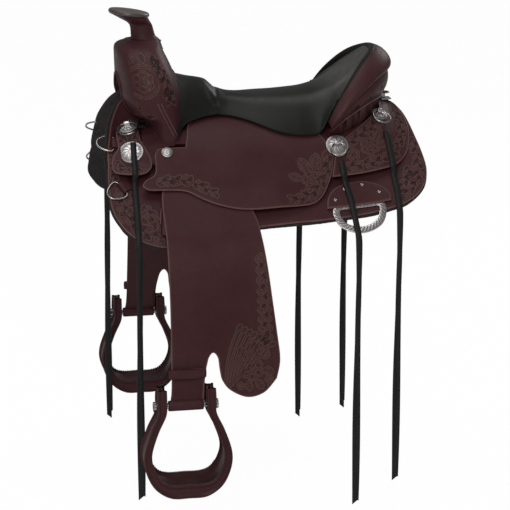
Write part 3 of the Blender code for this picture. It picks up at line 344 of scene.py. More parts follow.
def raised_floor(x, s):
    """The raised panels' underside: straight between the stations of the grid cell's half that holds (x, s),
    then averaged over nine places 8 mm apart, which eases the folds between the cells."""
    total = np.zeros(np.broadcast(x, s).shape)
    for dx in (-8.0, 0.0, 8.0):
        for ds in (-8.0, 0.0, 8.0):
            i = np.clip(np.searchsorted(RAISE_X, x + dx, side="right") - 1, 0, len(RAISE_X) - 2)
            j = np.clip(np.searchsorted(RAISE_S, s + ds, side="right") - 1, 0, len(RAISE_S) - 2)
            u = (x + dx - RAISE_X[i]) / (RAISE_X[i + 1] - RAISE_X[i])
            v = (s + ds - RAISE_S[j]) / (RAISE_S[j + 1] - RAISE_S[j])
            third = np.where(u > v, STATIONS[i + 1, j], STATIONS[i, j + 1])
            least, most = np.minimum(u, v), np.maximum(u, v)
            total += (1 - most) * STATIONS[i, j] + (most - least) * third + least * STATIONS[i + 1, j + 1]
    return total / 9


def jockey_top(x, s):
    """The raised panels' upper face."""
    return raised_floor(x, s) + JOCKEY


def level(height):
    """A floor that is the same height everywhere."""
    return lambda x, s: np.full(np.broadcast(x, s).shape, float(height))


# Meshes


def put(name, points, quads, triangles=(), material=None, carve=None, rim=None):
    """A mesh object from arrays in millimetres: quads and triangles of point numbers. Two attributes hold a
    number a point, or nothing: how deep the carving is, which the leather paints as shade and highlight and the
    metal as tarnish, and how far in from the leather's rim the point lies, which sets a paler rim; on the seat
    that number is a painted sheen instead. The faces of a closed mesh are turned outwards by the sign of its
    volume."""
    quads = np.asarray(quads, np.int64).reshape(-1, 4)
    triangles = np.asarray(triangles, np.int64).reshape(-1, 3)
    corners = np.vstack((quads[:, [0, 1, 2]], quads[:, [0, 2, 3]], triangles))
    a, b, c = (points[corners[:, k]] for k in range(3))
    if np.einsum("ij,ij->i", a, np.cross(b, c)).sum() < 0:
        quads, triangles = quads[:, ::-1], triangles[:, ::-1]
    mesh = bpy.data.meshes.new(name)
    mesh.vertices.add(len(points))
    mesh.vertices.foreach_set("co", (np.asarray(points, np.float32) * MM).ravel())
    loops = np.concatenate((quads.ravel(), triangles.ravel()))
    starts = np.concatenate((np.arange(len(quads)) * 4, 4 * len(quads) + np.arange(len(triangles)) * 3))
    mesh.loops.add(len(loops))
    mesh.loops.foreach_set("vertex_index", loops.astype(np.int32))
    mesh.polygons.add(len(starts))
    mesh.polygons.foreach_set("loop_start", starts.astype(np.int32))
    mesh.update(calc_edges=True)
    mesh.validate()
    mesh.shade_smooth()
    for key, numbers in (("carve", carve), ("rim", rim)):
        layer = mesh.attributes.new(key, "FLOAT", "POINT")
        if numbers is not None:
            layer.data.foreach_set("value", np.asarray(numbers, np.float32))
    made = bpy.data.objects.new(name, mesh)
    bpy.context.scene.collection.objects.link(made)
    if material:
        mesh.materials.append(material)
    return made


def belong(made, body, slot, *nodes):
    """Says which body a piece moves with and the CAD nodes that it stands for, which it hides. The slot is not
    used.
    """
    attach(made, body)
    if nodes:
        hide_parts(*nodes)
    return made


def make(name, parts, finish, body="saddle", slot="dark_leather", nodes=(), carve=None, rim=None):
    """One piece from its points and faces, with its finish and body."""
    return belong(put(name, *parts, finishes(finish), carve, rim), body, slot, *nodes)


def filled(values, count, rest=0.0):
    """The values in a row, filled up to this many with the same number."""
    return np.concatenate((values.ravel(), np.full(count - values.size, rest)))


def ring_quads(rows, count, closed=True):
    """Quads between rows of point numbers laid end to end, each row closed on itself or open."""
    i = np.arange(len(rows) - 1)[:, None]
    k = np.arange(count if closed else count - 1)[None, :]
    after = (k + 1) % count
    rows = np.asarray(rows)
    corners = (rows[i] + k, rows[i] + after, rows[i + 1] + after, rows[i + 1] + k)
    return np.stack(corners, axis=-1).reshape(-1, 4)


def grid_quads(number):
    """Quads between the neighbours of a grid of point numbers."""
    corners = (number[:-1, :-1], number[1:, :-1], number[1:, 1:], number[:-1, 1:])
    return np.stack(corners, axis=-1).reshape(-1, 4)


def loft(rings, ends=None):
    """Points, quads and triangles of rings of points laid end to end. The first and last are closed by fans
    to a point each, which is the ring's middle unless it is given."""
    length, count = rings.shape[:2]
    if ends is None:
        ends = (rings[0].mean(axis=0), rings[-1].mean(axis=0))
    rows = np.arange(length) * count
    k = np.arange(count)
    after = (k + 1) % count
    tip = 0 * k + length * count
    fans = np.vstack((
        np.stack((tip, after, k), axis=1),
        np.stack((tip + 1, rows[-1] + k, rows[-1] + after), axis=1),
    ))
    return np.vstack((rings.reshape(-1, 3), ends)), ring_quads(rows, count), fans


def slab(top, bottom):
    """A closed sheet between two grids of the same size: both faces and the four walls that join their
    rims."""
    rows, wide = top.shape[:2]
    size = rows * wide
    number = np.arange(size).reshape(rows, wide)
    rim = np.concatenate((number[0], number[1:, -1], number[-1, -2::-1], number[-2:0:-1, 0]))
    after = np.roll(rim, -1)
    walls = np.stack((after, rim, size + rim, size + after), axis=1)
    face = ring_quads(number[:, 0], wide, False)
    points = np.vstack((top.reshape(-1, 3), bottom.reshape(-1, 3)))
    return points, np.vstack((face, (size + face)[:, ::-1], walls)), ()


def joined(parts):
    """Several (points, quads, triangles) as one."""
    points, quads, triangles, start = [], [], [], 0
    for p, q, t in parts:
        points.append(p)
        quads.append(np.asarray(q).reshape(-1, 4) + start)
        triangles.append(np.asarray(t).reshape(-1, 3) + start)
        start += len(p)
    return np.vstack(points), np.vstack(quads), np.vstack(triangles)


def moved(parts, scale, shift):
    """The same faces with every point scaled and then shifted."""
    points, quads, triangles = parts
    return points * scale + shift, quads, triangles


def edge_profile(depth, edge):
    """How full the leather's half thickness is at a depth in from its edge: a quarter circle of that
    radius."""
    return np.sqrt(np.clip(1 - (1 - np.clip(depth / edge, 0, 1)) ** 2, 0, 1))


def segments(line):
    """The straight segments of a closed line, as pairs of ends."""
    return np.stack((line, np.roll(line, -1, axis=0)), axis=1)


def distance_to(points, ends):
    """Each point's distance to the nearest of some straight segments, worked out for a few thousand at a
    time."""
    a, d = ends[:, 0], ends[:, 1] - ends[:, 0]
    length = np.maximum((d**2).sum(axis=1), 1e-9)
    found = np.empty(len(points))
    for start in range(0, len(points), POINTS_AT_ONCE):
        some = slice(start, start + POINTS_AT_ONCE)
        block = points[some, None, :] - a[None]
        t = np.clip((block * d[None]).sum(axis=2) / length[None], 0, 1)
        gap = block - t[..., None] * d[None]
        found[some] = np.sqrt((gap**2).sum(axis=2).min(axis=1))
    return found


def panel(outline, centre, floor, thickness, side, rings, spacing, edge=None, nap=None):
    """A leather panel: rays run from a centre to the outline, carrying rings that are close together at the
    rim. Top and underside share the outline's own ring and part from it as a quarter circle; nap adds a
    height to the underside. Returns its points and faces, and each point's depth in from the rim."""
    line = np.vstack((outline, outline[:1]))
    count = int(lengths_along(line)[-1] / spacing)
    rim = evenly(outline, count)
    ahead = ahead_on(rim)
    centre = np.array(centre, float)
    ray = rim - centre
    square = np.abs(ray[:, 0] * ahead[:, 1] - ray[:, 1] * ahead[:, 0])
    share = 1 - RIM_DEPTHS[:, None] / np.maximum(square, 0.35 * np.linalg.norm(ray, axis=1))
    inner = np.linspace(1, 0, rings + 1)[1:-1, None] * share[-1]
    shares = np.vstack((share, inner))
    flat = centre + shares[..., None] * ray
    close = np.full(shares.shape, FAR_IN)
    outer = slice(0, len(RIM_DEPTHS) + 4)
    close[outer] = distance_to(flat[outer].reshape(-1, 2), segments(rim)).reshape(-1, count)
    close[0] = 0.0
    few = list(range(1, 5)) + list(range(6, len(shares), 1 if nap else 2))
    half = thickness / 2
    full = edge_profile(close, edge or 1000 * sizes().rim)
    x, s = flat[..., 0], flat[..., 1]
    ground = floor(x, s) + half
    top = wrap(SKIRT_SIDE, x, s, ground + half * full, side)
    low = ground[few] - half * full[few] - (nap(x[few], s[few]) if nap else 0)
    under = wrap(SKIRT_SIDE, x[few], s[few], low, side)
    poles = wrap(SKIRT_SIDE, *centre, floor(*centre) + np.array((thickness, 0.0)), side)
    points = np.vstack((top.reshape(-1, 3), under.reshape(-1, 3), poles))
    top_rows = np.arange(len(shares)) * count
    under_rows = np.concatenate(([0], close.size + np.arange(len(few)) * count))
    quads = np.vstack((ring_quads(top_rows, count), ring_quads(under_rows, count)[:, ::-1]))
    k = np.arange(count)
    after = (k + 1) % count
    pole = 0 * k + len(points) - 2
    fans = np.vstack((
        np.stack((top_rows[-1] + k, top_rows[-1] + after, pole), axis=1),
        np.stack((under_rows[-1] + after, under_rows[-1] + k, pole + 1), axis=1),
    ))
    return (points, quads, fans), filled(close, len(points), FAR_IN)


def tube(path, section, normals=(0.0, 0.0, 1.0), closed=False):
    """A section carried along a path. Each of its points lies across the path, square to the path and to the
    given normals, and up along the normals. Open ends are closed by a point at their middle."""
    path = np.asarray(path, float)
    ahead = ahead_on(path) if closed else unit(np.gradient(path, axis=0))
    across = unit(np.cross(ahead, np.broadcast_to(normals, path.shape)))
    up = np.cross(across, ahead)
    section = np.asarray(section, float)
    sections = np.broadcast_to(section, (len(path), *section.shape[-2:]))
    rings = path[:, None] + sections[..., :1] * across[:, None] + sections[..., 1:] * up[:, None]
    if not closed:
        return loft(rings)
    width = rings.shape[1]
    rows = np.append(np.arange(len(path)) * width, 0)
    return rings.reshape(-1, 3), ring_quads(rows, width), ()


def round_turn(count):
    """Angles spaced evenly round a circle."""
    return 2 * math.pi * np.arange(count) / count


def round_section(radius, count=12, flat=1.0):
    """A circle, or an ellipse this much lower than wide."""
    a = round_turn(count)
    return np.stack((radius * np.cos(a), flat * radius * np.sin(a)), axis=1)


def strap_section(width, thickness, edge=1.0):
    """A band's section with rounded edges, from below its middle round to there again."""
    a = np.radians(np.array((-90, -60, -30, 0, 30, 60, 90)))
    right = np.stack((width / 2 - edge + edge * np.cos(a), thickness / 2 * np.sin(a)), axis=1)
    return np.vstack((right, right[::-1] * (-1, 1)))


def turned(profile, count, ripple=None):
    """A disc turned about its middle from (radius, height) pairs; ripple(angle, radius) adds to the
    heights."""
    a = round_turn(count)
    r, h = np.array(profile, float).T
    radius, height = np.broadcast_arrays(r[:, None], h[:, None] + 0 * a)
    if ripple:
        height = height + ripple(a, radius)
    return loft(np.stack((radius * np.cos(a), radius * np.sin(a), height), axis=-1))


def carried(parts, frame_of, side):
    """Points given along, down and out of the leather, placed by a hardware frame and mirrored on the off
    side."""
    points, quads, triangles = parts
    origin, along, down, out = (np.array(v, float) for v in frame_of)
    world = origin + points[:, :1] * along + points[:, 1:2] * down + points[:, 2:] * out
    return world * (1, -side, 1), quads, triangles


def stitches(path, normals, pitch=None, length=3.0, radius=0.5):
    """A row of thread stitches: along a path with its normals, a small spindle of six sides lies every few
    millimetres."""
    pitch = pitch or 1000 * sizes().stitch
    run = lengths_along(path)
    at = np.arange(pitch, run[-1] - pitch, pitch)
    behind, place, before = (read_at(at + step, run, path) for step in (-1, 0, 1))
    ahead = unit(before - behind)
    across = unit(np.cross(ahead, read_at(at, run, normals)))
    up = np.cross(across, ahead)
    along = np.array((-1.0, -0.7, 0.0, 0.7, 1.0)) * length / 2
    fat = np.array((0.2, 0.8, 1.0, 0.8, 0.2)) * radius
    ring = fat[:, None, None] * round_section(1.0, 6)
    offset = (
        along[None, :, None, None] * ahead[:, None, None]
        + ring[None, ..., :1] * across[:, None, None]
        + ring[None, ..., 1:] * up[:, None, None]
    )
    points = (place[:, None, None] + offset).reshape(-1, 3)
    caps = np.array(((0, 5, 4, 3), (0, 3, 2, 1), (24, 25, 26, 27), (24, 27, 28, 29)))
    each = np.vstack((ring_quads(np.arange(5) * 6, 6), caps))
    quads = each[None] + (30 * np.arange(len(at)))[:, None, None]
    return points, quads.reshape(-1, 4), ()


def rim_stitching(outline, inset, floor, side, least=0.0):
    """Stitches this far in from an outline, on the leather's top, where the distance round the horse is more
    than the least."""
    line = evenly(outline, 400)
    line = line - inset * outward_from(line)
    keep = line[:, 1] > least
    start = int(np.argmin(keep))
    line = np.roll(line, -start, axis=0)[np.roll(keep, -start)]
    x, s = line.T
    low, high = (wrap(SKIRT_SIDE, x, s, floor(x, s) + lift, side) for lift in (0.0, 1.0))
    gaps = np.linalg.norm(np.diff(low, axis=0), axis=1)
    breaks = np.concatenate(([0], np.where(gaps > 20)[0] + 1, [len(low)]))
    return joined([
        stitches(low[a:b] + 0.1 * (high - low)[a:b], (high - low)[a:b])
        for a, b in zip(breaks, breaks[1:]) if b - a > 6
    ])


# Carving


def strokes(line):
    """A polyline as an array of straight strokes."""
    line = np.asarray(line, float)
    return np.stack((line[:-1], line[1:]), axis=1)


def scroll(x, y, radius, start, turn, turns=1.3):
    """A spiral that runs in from its rim: the radius falls evenly as the angle grows."""
    t = np.linspace(0, 1, 30)
    a = math.radians(start) + turn * 2 * math.pi * turns * t
    r = radius * (1 - 0.86 * t)
    return strokes(np.stack((x + r * np.cos(a), y + r * np.sin(a)), axis=1))


def leaf(x, y, length, angle, width=0.3, veins=4):
    """A pointed leaf: two arcs from stem to tip, a midrib and short veins that lean forward."""
    t = np.linspace(0, 1, 9)
    c, s = math.cos(math.radians(angle)), math.sin(math.radians(angle))
    bow = width * length * np.sin(math.pi * t) ** 0.8
    lines = [np.stack((length * t, way * bow), axis=1) for way in (1, -1)]
    lines.append(np.array(((0, 0), (0.9 * length, 0))))
    for k in range(1, veins):
        at = length * k / veins * 0.85
        rise = 0.75 * width * length * math.sin(math.pi * k / veins)
        lines += [np.array(((at, 0), (at + rise, way * rise))) for way in (1, -1)]
    turn = np.array(((c, s), (-s, c)))
    return np.vstack([strokes(line @ turn + (x, y)) for line in lines])


def flower(x, y, radius, petals=6):
    """A rosette: a line of rounded petals, two rings of seeds, and a stroke down the middle of each petal."""
    a = np.linspace(0, 2 * math.pi, 14 * petals + 1)
    lines = [(radius * (0.72 + 0.28 * np.abs(np.sin(petals * a / 2))), a)]
    lines += [(share * radius, a[::4]) for share in (0.34, 0.2)]
    lines += [(radius * np.array((0.36, 0.7)), 2 * math.pi * k / petals) for k in range(petals)]
    return np.vstack([strokes(np.stack((x + r * np.cos(b), y + r * np.sin(b)), axis=1)) for r, b in lines])


def vine(path, width, pitch):
    """Scrollwork along a path: its stem, and at even steps a spiral on one side and a leaf on the other."""
    line = through(path, 8, closed=False)
    stations = evenly(line, max(int(lengths_along(line)[-1] / pitch), 2) + 1, closed=False)
    parts = [strokes(line)]
    for k, (here, there) in enumerate(zip(stations, stations[1:])):
        ahead = (there - here) / np.linalg.norm(there - here)
        sign = 1 if k % 2 else -1
        normal = np.array((-ahead[1], ahead[0])) * sign
        size = width / 2 * (0.75 + 0.25 * math.sin(2.1 * k))
        middle = (here + there) / 2 + normal * size * 0.55
        angle = math.degrees(math.atan2(ahead[1], ahead[0]))
        parts.append(scroll(*middle, size * 0.62, angle - 90 * sign, sign))
        parts.append(leaf(*(here - normal), size * 1.5, angle - sign * 38, 0.22, 3))
        parts.append(leaf(*there, size * 1.1, angle + sign * 60, 0.25, 2))
    return np.vstack(parts)


def inside_of(points, ends):
    """Whether each point is inside a closed outline: a line to its right crosses the outline's segments an
    odd number of times."""
    (ax, ay), (bx, by) = ends[:, 0].T, ends[:, 1].T
    x, y = points[:, :1], points[:, 1:]
    slope = (bx - ax) / np.where(by == ay, 1.0, by - ay)
    crossed = ((ay > y) != (by > y)) & (x < ax + slope * (y - ay))
    return crossed.sum(axis=1) % 2 == 1


def tooling(name, carving, outline, top, moves_with=None, table=SKIRT_SIDE):
    """Floral tooling on a panel of both sides, as a thin sheet of its own: a fine grid, kept where a stroke
    is near and the panel's edge isn't. Over the leather its height rises to half a millimetre on the motif
    and sinks into the leather beside it, less a groove along each stroke and the pressed ground between
    them."""
    low, high = carving.reshape(-1, 2).min(axis=0) - 8, carving.reshape(-1, 2).max(axis=0) + 8
    steps = [np.arange(low[k], high[k], TOOLING_STEP) for k in (0, 1)]
    x, s = np.meshgrid(*steps, indexing="ij")
    flat = np.stack((x.ravel(), s.ravel()), axis=1)
    ends = segments(outline)
    near = distance_to(flat, carving).reshape(x.shape)
    close = distance_to(flat, ends).reshape(x.shape)
    weight = np.clip((6.4 - near) / 2.0, 0, 1) * np.clip((close - 3.0) / 1.6, 0, 1)
    weight = weight * inside_of(flat, ends).reshape(x.shape)
    groove = np.exp(-((near / 0.75) ** 2))
    ground = np.clip((near - 2.3) / 0.9, 0, 1)
    stipple = 0.5 + 0.5 * np.sin(2.5 * x) * np.sin(2.5 * s)
    rise = 0.9 * weight - 0.3 - 0.4 * groove - (0.22 + 0.1 * stipple) * ground
    quads = grid_quads(np.arange(x.size).reshape(x.shape))
    quads = quads[(weight.ravel()[quads] > 0).any(axis=1)]
    edges = np.stack((quads, np.roll(quads, -1, axis=1)), axis=-1).reshape(-1, 2)
    lone = ~np.isin(edges[:, 0] * x.size + edges[:, 1], edges[:, 1] * x.size + edges[:, 0])
    a, b = edges[lone].T
    walls = np.stack((b, a, x.size + a, x.size + b), axis=1)
    used, again = np.unique(np.vstack((quads, x.size + quads[:, ::-1], walls)), return_inverse=True)
    # Painted shade: darkest in each groove and over the pressed, stippled ground, with a painted highlight
    # beside each groove.
    shade = np.clip(groove + (0.45 + 0.4 * stipple) * ground * (weight > 0), 0, 1).ravel()
    shade = filled(shade, 2 * shade.size)[used]
    for side, word in SIDES:
        height = top(x, s)
        faces = [wrap(table, x, s, height + lift, side).reshape(-1, 3) for lift in (rise, -1.4)]
        make(f"{name}_{word}", (np.vstack(faces)[used], again.reshape(-1, 4), ()), "saddle leather",
             f"{moves_with}_{word}" if moves_with else "saddle", carve=shade)


# Materials


def group_of(name, inputs, outputs):
    """An empty shader node group, the sockets that bring its inputs and those that take its outputs. An input
    is a colour or a number, and an output is a number unless it is called Colour."""
    tree = bpy.data.node_groups.new(name, "ShaderNodeTree")
    for socket, value in inputs.items():
        kind = "NodeSocketColor" if isinstance(value, tuple) else "NodeSocketFloat"
        tree.interface.new_socket(name=socket, in_out="INPUT", socket_type=kind).default_value = value
    for socket in outputs:
        kind = "NodeSocketColor" if socket == "Colour" else "NodeSocketFloat"
        tree.interface.new_socket(name=socket, in_out="OUTPUT", socket_type=kind)
    return tree, tree.nodes.new("NodeGroupInput").outputs, tree.nodes.new("NodeGroupOutput").inputs


def node(tree, kind, links=(), **settings):
    """A node with its settings, whose inputs are linked or given a value by number or name."""
    made = tree.nodes.new(kind)
    for key, value in settings.items():
        setattr(made, key, value)
    for socket, value in links:
        if isinstance(value, bpy.types.NodeSocket):
            tree.links.new(value, made.inputs[socket])
        else:
            made.inputs[socket].default_value = value
    return made


def maths(tree, operation, *values):
    """The result of one step of arithmetic."""
    return node(tree, "ShaderNodeMath", list(enumerate(values)), operation=operation).outputs[0]


def mixed(tree, factor, first, second):
    """Two colours mixed by a factor."""
    return node(tree, "ShaderNodeMix", ((0, factor), (6, first), (7, second)), data_type="RGBA").outputs[2]


def ranged(tree, value, low, high, first, second):
    """A value taken from one range to another, and held at its ends."""
    links = ((0, value), (1, low), (2, high), (3, first), (4, second))
    return node(tree, "ShaderNodeMapRange", links).outputs[0]


def noise(tree, where, scale, detail):
    """Cloudy noise."""
    links = (("Vector", where), ("Scale", scale), ("Detail", detail))
    return node(tree, "ShaderNodeTexNoise", links).outputs["Fac"]


def pebbles(tree, where, scale):
    """The distance from the nearest of many scattered points, without creases."""
    links = (("Vector", where), ("Scale", scale))
    return node(tree, "ShaderNodeTexVoronoi", links, feature="SMOOTH_F1").outputs["Distance"]


def carried_number(tree, name):
    """The number that the mesh carries under this name."""
    return node(tree, "ShaderNodeAttribute", attribute_name=name).outputs["Fac"]


def leather_group():
    """Leather: large and small mottling of the dye; painted shade in the carving's grooves and pressed ground,
    with a painted highlight on the shoulders beside them; a paler rim that is partly burnished wear and partly a
    painted highlight on the rounded edge, and on the seat a painted sheen; and a grain of small pebbles with
    fine creases as a height."""
    tree, given, out = group_of(
        "leather surface",
        {"Dye": (0.05, 0.02, 0.02, 1), "Pale": (0.1, 0.05, 0.05, 1), "Dark": (0.01, 0.005, 0.005, 1),
         "Rim": (0.17, 0.1, 0.095, 1), "Sheen": 0.42, "Grain": 0.25},
        ("Colour", "Roughness", "Height"),
    )
    where = tree.nodes.new("ShaderNodeTexCoord").outputs["Object"]
    large, small, creases = (noise(tree, where, *at) for at in ((7.0, 3.0), (70.0, 4.0), (420.0, 2.0)))
    carve, rim = (carried_number(tree, name) for name in ("carve", "rim"))
    cloud = maths(tree, "MULTIPLY_ADD", large, 1.1, -0.25)
    dyed = mixed(tree, maths(tree, "MULTIPLY", cloud, 0.5), given["Dye"], given["Pale"])
    dyed = mixed(tree, maths(tree, "MULTIPLY", small, 0.35), dyed, given["Dark"])
    has_rim = maths(tree, "GREATER_THAN", rim, 0.001)
    # A paler colour near the rim: partly burnished wear and partly a painted highlight on the rounded edge; on
    # the seat it is a painted sheen.
    pale_rim_wear_and_sheen = maths(tree, "MULTIPLY", ranged(tree, rim, 0.6, 3.4, 1.0, 0.0), has_rim)
    dyed = mixed(tree, maths(tree, "MULTIPLY", pale_rim_wear_and_sheen, maths(tree, "ADD", small, 0.4)), dyed, given["Rim"])
    # Painted highlight on the shoulders beside each carved groove, then painted shade in the grooves and over
    # the pressed ground.
    dyed = mixed(tree, ranged(tree, carve, 0.002, 0.06, 0.0, 0.7), dyed, given["Pale"])
    dyed = mixed(tree, ranged(tree, carve, 0.25, 0.75, 0.0, 0.85), dyed, given["Dark"])
    rough = maths(tree, "MULTIPLY_ADD", maths(tree, "SUBTRACT", large, 0.5), 0.25, given["Sheen"])
    grain = maths(tree, "ADD", maths(tree, "MULTIPLY", pebbles(tree, where, 700.0), 1.2), creases)
    tree.links.new(dyed, out["Colour"])
    tree.links.new(maths(tree, "MULTIPLY_ADD", carve, 0.2, rough), out["Roughness"])
    tree.links.new(maths(tree, "MULTIPLY", grain, given["Grain"]), out["Height"])
    return tree


def metal_group():
    """Antiqued metal: bright on the high places, dark and duller in the engraving, with faint scratches."""
    tree, given, out = group_of(
        "antiqued metal",
        {"Bright": (0.6, 0.58, 0.57, 1), "Tarnish": (0.08, 0.07, 0.07, 1), "Polish": 0.28},
        ("Colour", "Roughness", "Height"),
    )
    where = tree.nodes.new("ShaderNodeTexCoord").outputs["Object"]
    specks, cloud = noise(tree, where, 260.0, 5.0), noise(tree, where, 45.0, 2.0)
    carve = carried_number(tree, "carve")
    dull = maths(tree, "ADD", maths(tree, "MULTIPLY", carve, 0.8), maths(tree, "MULTIPLY", specks, 0.25))
    rough = maths(tree, "MULTIPLY_ADD", cloud, 0.2, given["Polish"])
    tree.links.new(mixed(tree, dull, given["Bright"], given["Tarnish"]), out["Colour"])
    tree.links.new(maths(tree, "MULTIPLY_ADD", carve, 0.3, rough), out["Roughness"])
    tree.links.new(specks, out["Height"])
    return tree


def pile_group():
    """Wool pile: dark tufts with paler tips, and their height."""
    tree, given, out = group_of(
        "wool pile", {"Root": (0.01, 0.01, 0.01, 1), "Tip": (0.05, 0.045, 0.04, 1)}, ("Colour", "Height")
    )
    where = tree.nodes.new("ShaderNodeTexCoord").outputs["Object"]
    tufts = maths(tree, "SUBTRACT", 1.0, pebbles(tree, where, 260.0))
    height = maths(tree, "ADD", tufts, noise(tree, where, 500.0, 4.0))
    tips = maths(tree, "MULTIPLY", height, 0.6)
    tree.links.new(mixed(tree, tips, given["Root"], given["Tip"]), out["Colour"])
    tree.links.new(height, out["Height"])
    return tree


def finish_with(name, tree, values, relief, settings):
    """A material: the group's outputs drive one Principled shader, whose other sockets are set here."""
    material = bpy.data.materials.new(name)
    material.use_nodes = True
    nodes = material.node_tree
    shader = nodes.nodes["Principled BSDF"]
    group = node(nodes, "ShaderNodeGroup", values.items(), node_tree=tree)
    nodes.links.new(group.outputs["Colour"], shader.inputs["Base Color"])
    if "Roughness" in group.outputs:
        nodes.links.new(group.outputs["Roughness"], shader.inputs["Roughness"])
    links = (("Height", group.outputs["Height"]), ("Strength", 0.6), ("Distance", relief))
    bump = node(nodes, "ShaderNodeBump", links)
    nodes.links.new(bump.outputs[0], shader.inputs["Normal"])
    for key, value in settings.items():
        shader.inputs[key].default_value = value
    material.diffuse_color = next(iter(values.values()))
    return material


# Settings


def colour_property(name, description, default):
    """A colour that a user can change."""
    return bpy.props.FloatVectorProperty(
        name=name, description=description, subtype="COLOR", size=3, min=0.0, max=1.0, default=default
    )


def length_property(name, description, default):
    """A length in metres that a user can change."""
    return bpy.props.FloatProperty(
        name=name, description=description, subtype="DISTANCE", unit="LENGTH", default=default
    )


class SaddleColours(bpy.types.PropertyGroup):
    """Colours of the saddle's finishes."""

    leather: colour_property("Leather", "Dye of the skirts, jockeys and fenders", (0.044, 0.0115, 0.0145))
    # The pale colour gives the dye's mottling and the welts' dye, and paints the highlight beside the carving's
    # grooves.
    leather_pale: colour_property("Burnished leather", "Rubbed places and rims", (0.095, 0.046, 0.041))
    leather_dark: colour_property("Shaded leather", "Inside the carving", (0.008, 0.004, 0.0045))
    seat: colour_property("Seat", "Dye of the seat leather", (0.0095, 0.0095, 0.0085))
    thong: colour_property("Thongs", "Dye of the tie strings", (0.0085, 0.008, 0.008))
    silver: colour_property("Silver", "Polished places of the conchos and rings", (0.62, 0.585, 0.58))
    steel: colour_property("Steel", "Bolts and the plain dees", (0.4, 0.385, 0.37))
    fleece: colour_property("Fleece", "Tips of the wool pile", (0.036, 0.033, 0.032))
    lace: colour_property("Lace", "The red-brown lace under the stirrup", (0.16, 0.04, 0.02))


class SaddleSizes(bpy.types.PropertyGroup):
    """Sizes of the saddle's trim."""

    rim: length_property("Rim", "Radius of the leather's rounded edges", 0.0018)
    carving: length_property("Carving", "Depth of the carved lines", 0.0010)
    stitch: length_property("Stitch", "Distance from one stitch to the next", 0.0044)
    wire: length_property("Wire", "Radius of the dees' and rings' wire", 0.0019)


def sizes():
    """The sizes chosen."""
    return bpy.context.scene.saddle_sizes


def finishes(name):
    """The saddle's materials by name, made once from the colours chosen."""
    found = bpy.data.materials.get(name)
    if found:
        return found
    c = bpy.context.scene.saddle_colours
    groups = bpy.data.node_groups
    leather = groups.get("leather surface") or leather_group()
    metal = groups.get("antiqued metal") or metal_group()
    pile = groups.get("wool pile") or pile_group()
    dye, pale, dark = (*c.leather, 1), (*c.leather_pale, 1), (*c.leather_dark, 1)
    black = (0.004, 0.004, 0.004, 1)
    # The hide's Rim colour is partly burnished wear and partly a painted highlight on its rounded edges. The
    # seat's grey Rim colour is a painted sheen.
    hide = {"Dye": dye, "Pale": pale, "Dark": dark, "Rim": (0.13, 0.068, 0.062, 1)}
    seat = {"Dye": (*c.seat, 1), "Pale": (0.022, 0.022, 0.02, 1), "Dark": black, "Rim": (0.1, 0.098, 0.09, 1)}
    thong = {"Dye": (*c.thong, 1), "Pale": (0.026, 0.024, 0.023, 1), "Dark": black}
    welt = {"Dye": pale, "Pale": (0.2, 0.12, 0.11, 1), "Dark": dye}
    lace = {"Dye": (*c.lace, 1), "Pale": (0.25, 0.08, 0.05, 1), "Dark": dark}
    thread = {"Dye": (0.05, 0.022, 0.02, 1), "Pale": (0.1, 0.05, 0.045, 1), "Dark": dark}
    cap = {"Dye": (0.05, 0.038, 0.034, 1), "Pale": (0.14, 0.11, 0.1, 1), "Dark": dark}
    silver = {"Bright": (*c.silver, 1), "Tarnish": (0.03, 0.027, 0.027, 1)}
    wool = {"Tip": (*c.fleece, 1), "Root": (0.008, 0.0075, 0.0075, 1)}
    skin = {"Coat Weight": 0.02, "Coat Roughness": 0.3, "Specular IOR Level": 0.12}
    glossy, lacquered = {**skin, "Coat Weight": 0.03}, {**skin, "Specular IOR Level": 0.5}
    soft, metallic, steel = {**skin, "Coat Weight": 0.04}, {"Metallic": 1.0}, {**silver, "Bright": (*c.steel, 1)}
    recipes = {
        "saddle leather": (leather, {**hide, "Sheen": 0.44, "Grain": 0.3}, 0.0005, skin),
        "rolled leather": (leather, {**hide, "Sheen": 0.46, "Grain": 0.2}, 0.0004, glossy),
        "tree leather": (leather, {**hide, "Pale": dye, "Sheen": 0.6, "Grain": 0.3}, 0.0005, skin),
        "seat leather": (leather, {**seat, "Sheen": 0.4, "Grain": 0.35}, 0.0005, soft),
        "thong leather": (leather, {**thong, "Sheen": 0.55, "Grain": 0.3}, 0.0004, {"Specular IOR Level": 0.2}),
        "welt leather": (leather, {**welt, "Sheen": 0.4, "Grain": 0.15}, 0.0003, skin),
        "lace leather": (leather, {**lace, "Sheen": 0.5, "Grain": 0.3}, 0.0003, {}),
        "thread": (leather, {**thread, "Sheen": 0.7, "Grain": 0.1}, 0.0002, {}),
        "cap leather": (leather, {**cap, "Sheen": 0.3, "Grain": 0.15}, 0.0003, lacquered),
        "engraved silver": (metal, {**silver, "Polish": 0.2}, 0.0001, metallic),
        "bright wire": (metal, {**steel, "Polish": 0.12}, 0.00005, metallic),
        "wool": (pile, wool, 0.002, {"Roughness": 0.95, "Specular IOR Level": 0.1}),
    }
    return finish_with(name, *recipes[name])


class SaddleOperator:
    """What the saddle's operators share."""

    bl_options = {"REGISTER", "UNDO"}


# The operators


class SADDLE_OT_tree(SaddleOperator, bpy.types.Operator):
    """Finish the tree under the leather: its bars, fork, cantle board and ground seat"""

    bl_idname = "saddle.tree"
    bl_label = "Tree"

    def execute(self, context):
        wood = ("tree_bar_left", "tree_bar_right", "tree_fork", "tree_cantle", "ground_seat")
        steel = ("horn_core", "crupper_plate", "stirrup_bolt_left", "stirrup_bolt_right")
        for names, finish in ((wood, "tree leather"), (steel, "bright wire")):
            for name in names:
                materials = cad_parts[name].data.materials
                materials.clear()
                materials.append(finishes(finish))
        return {"FINISHED"}


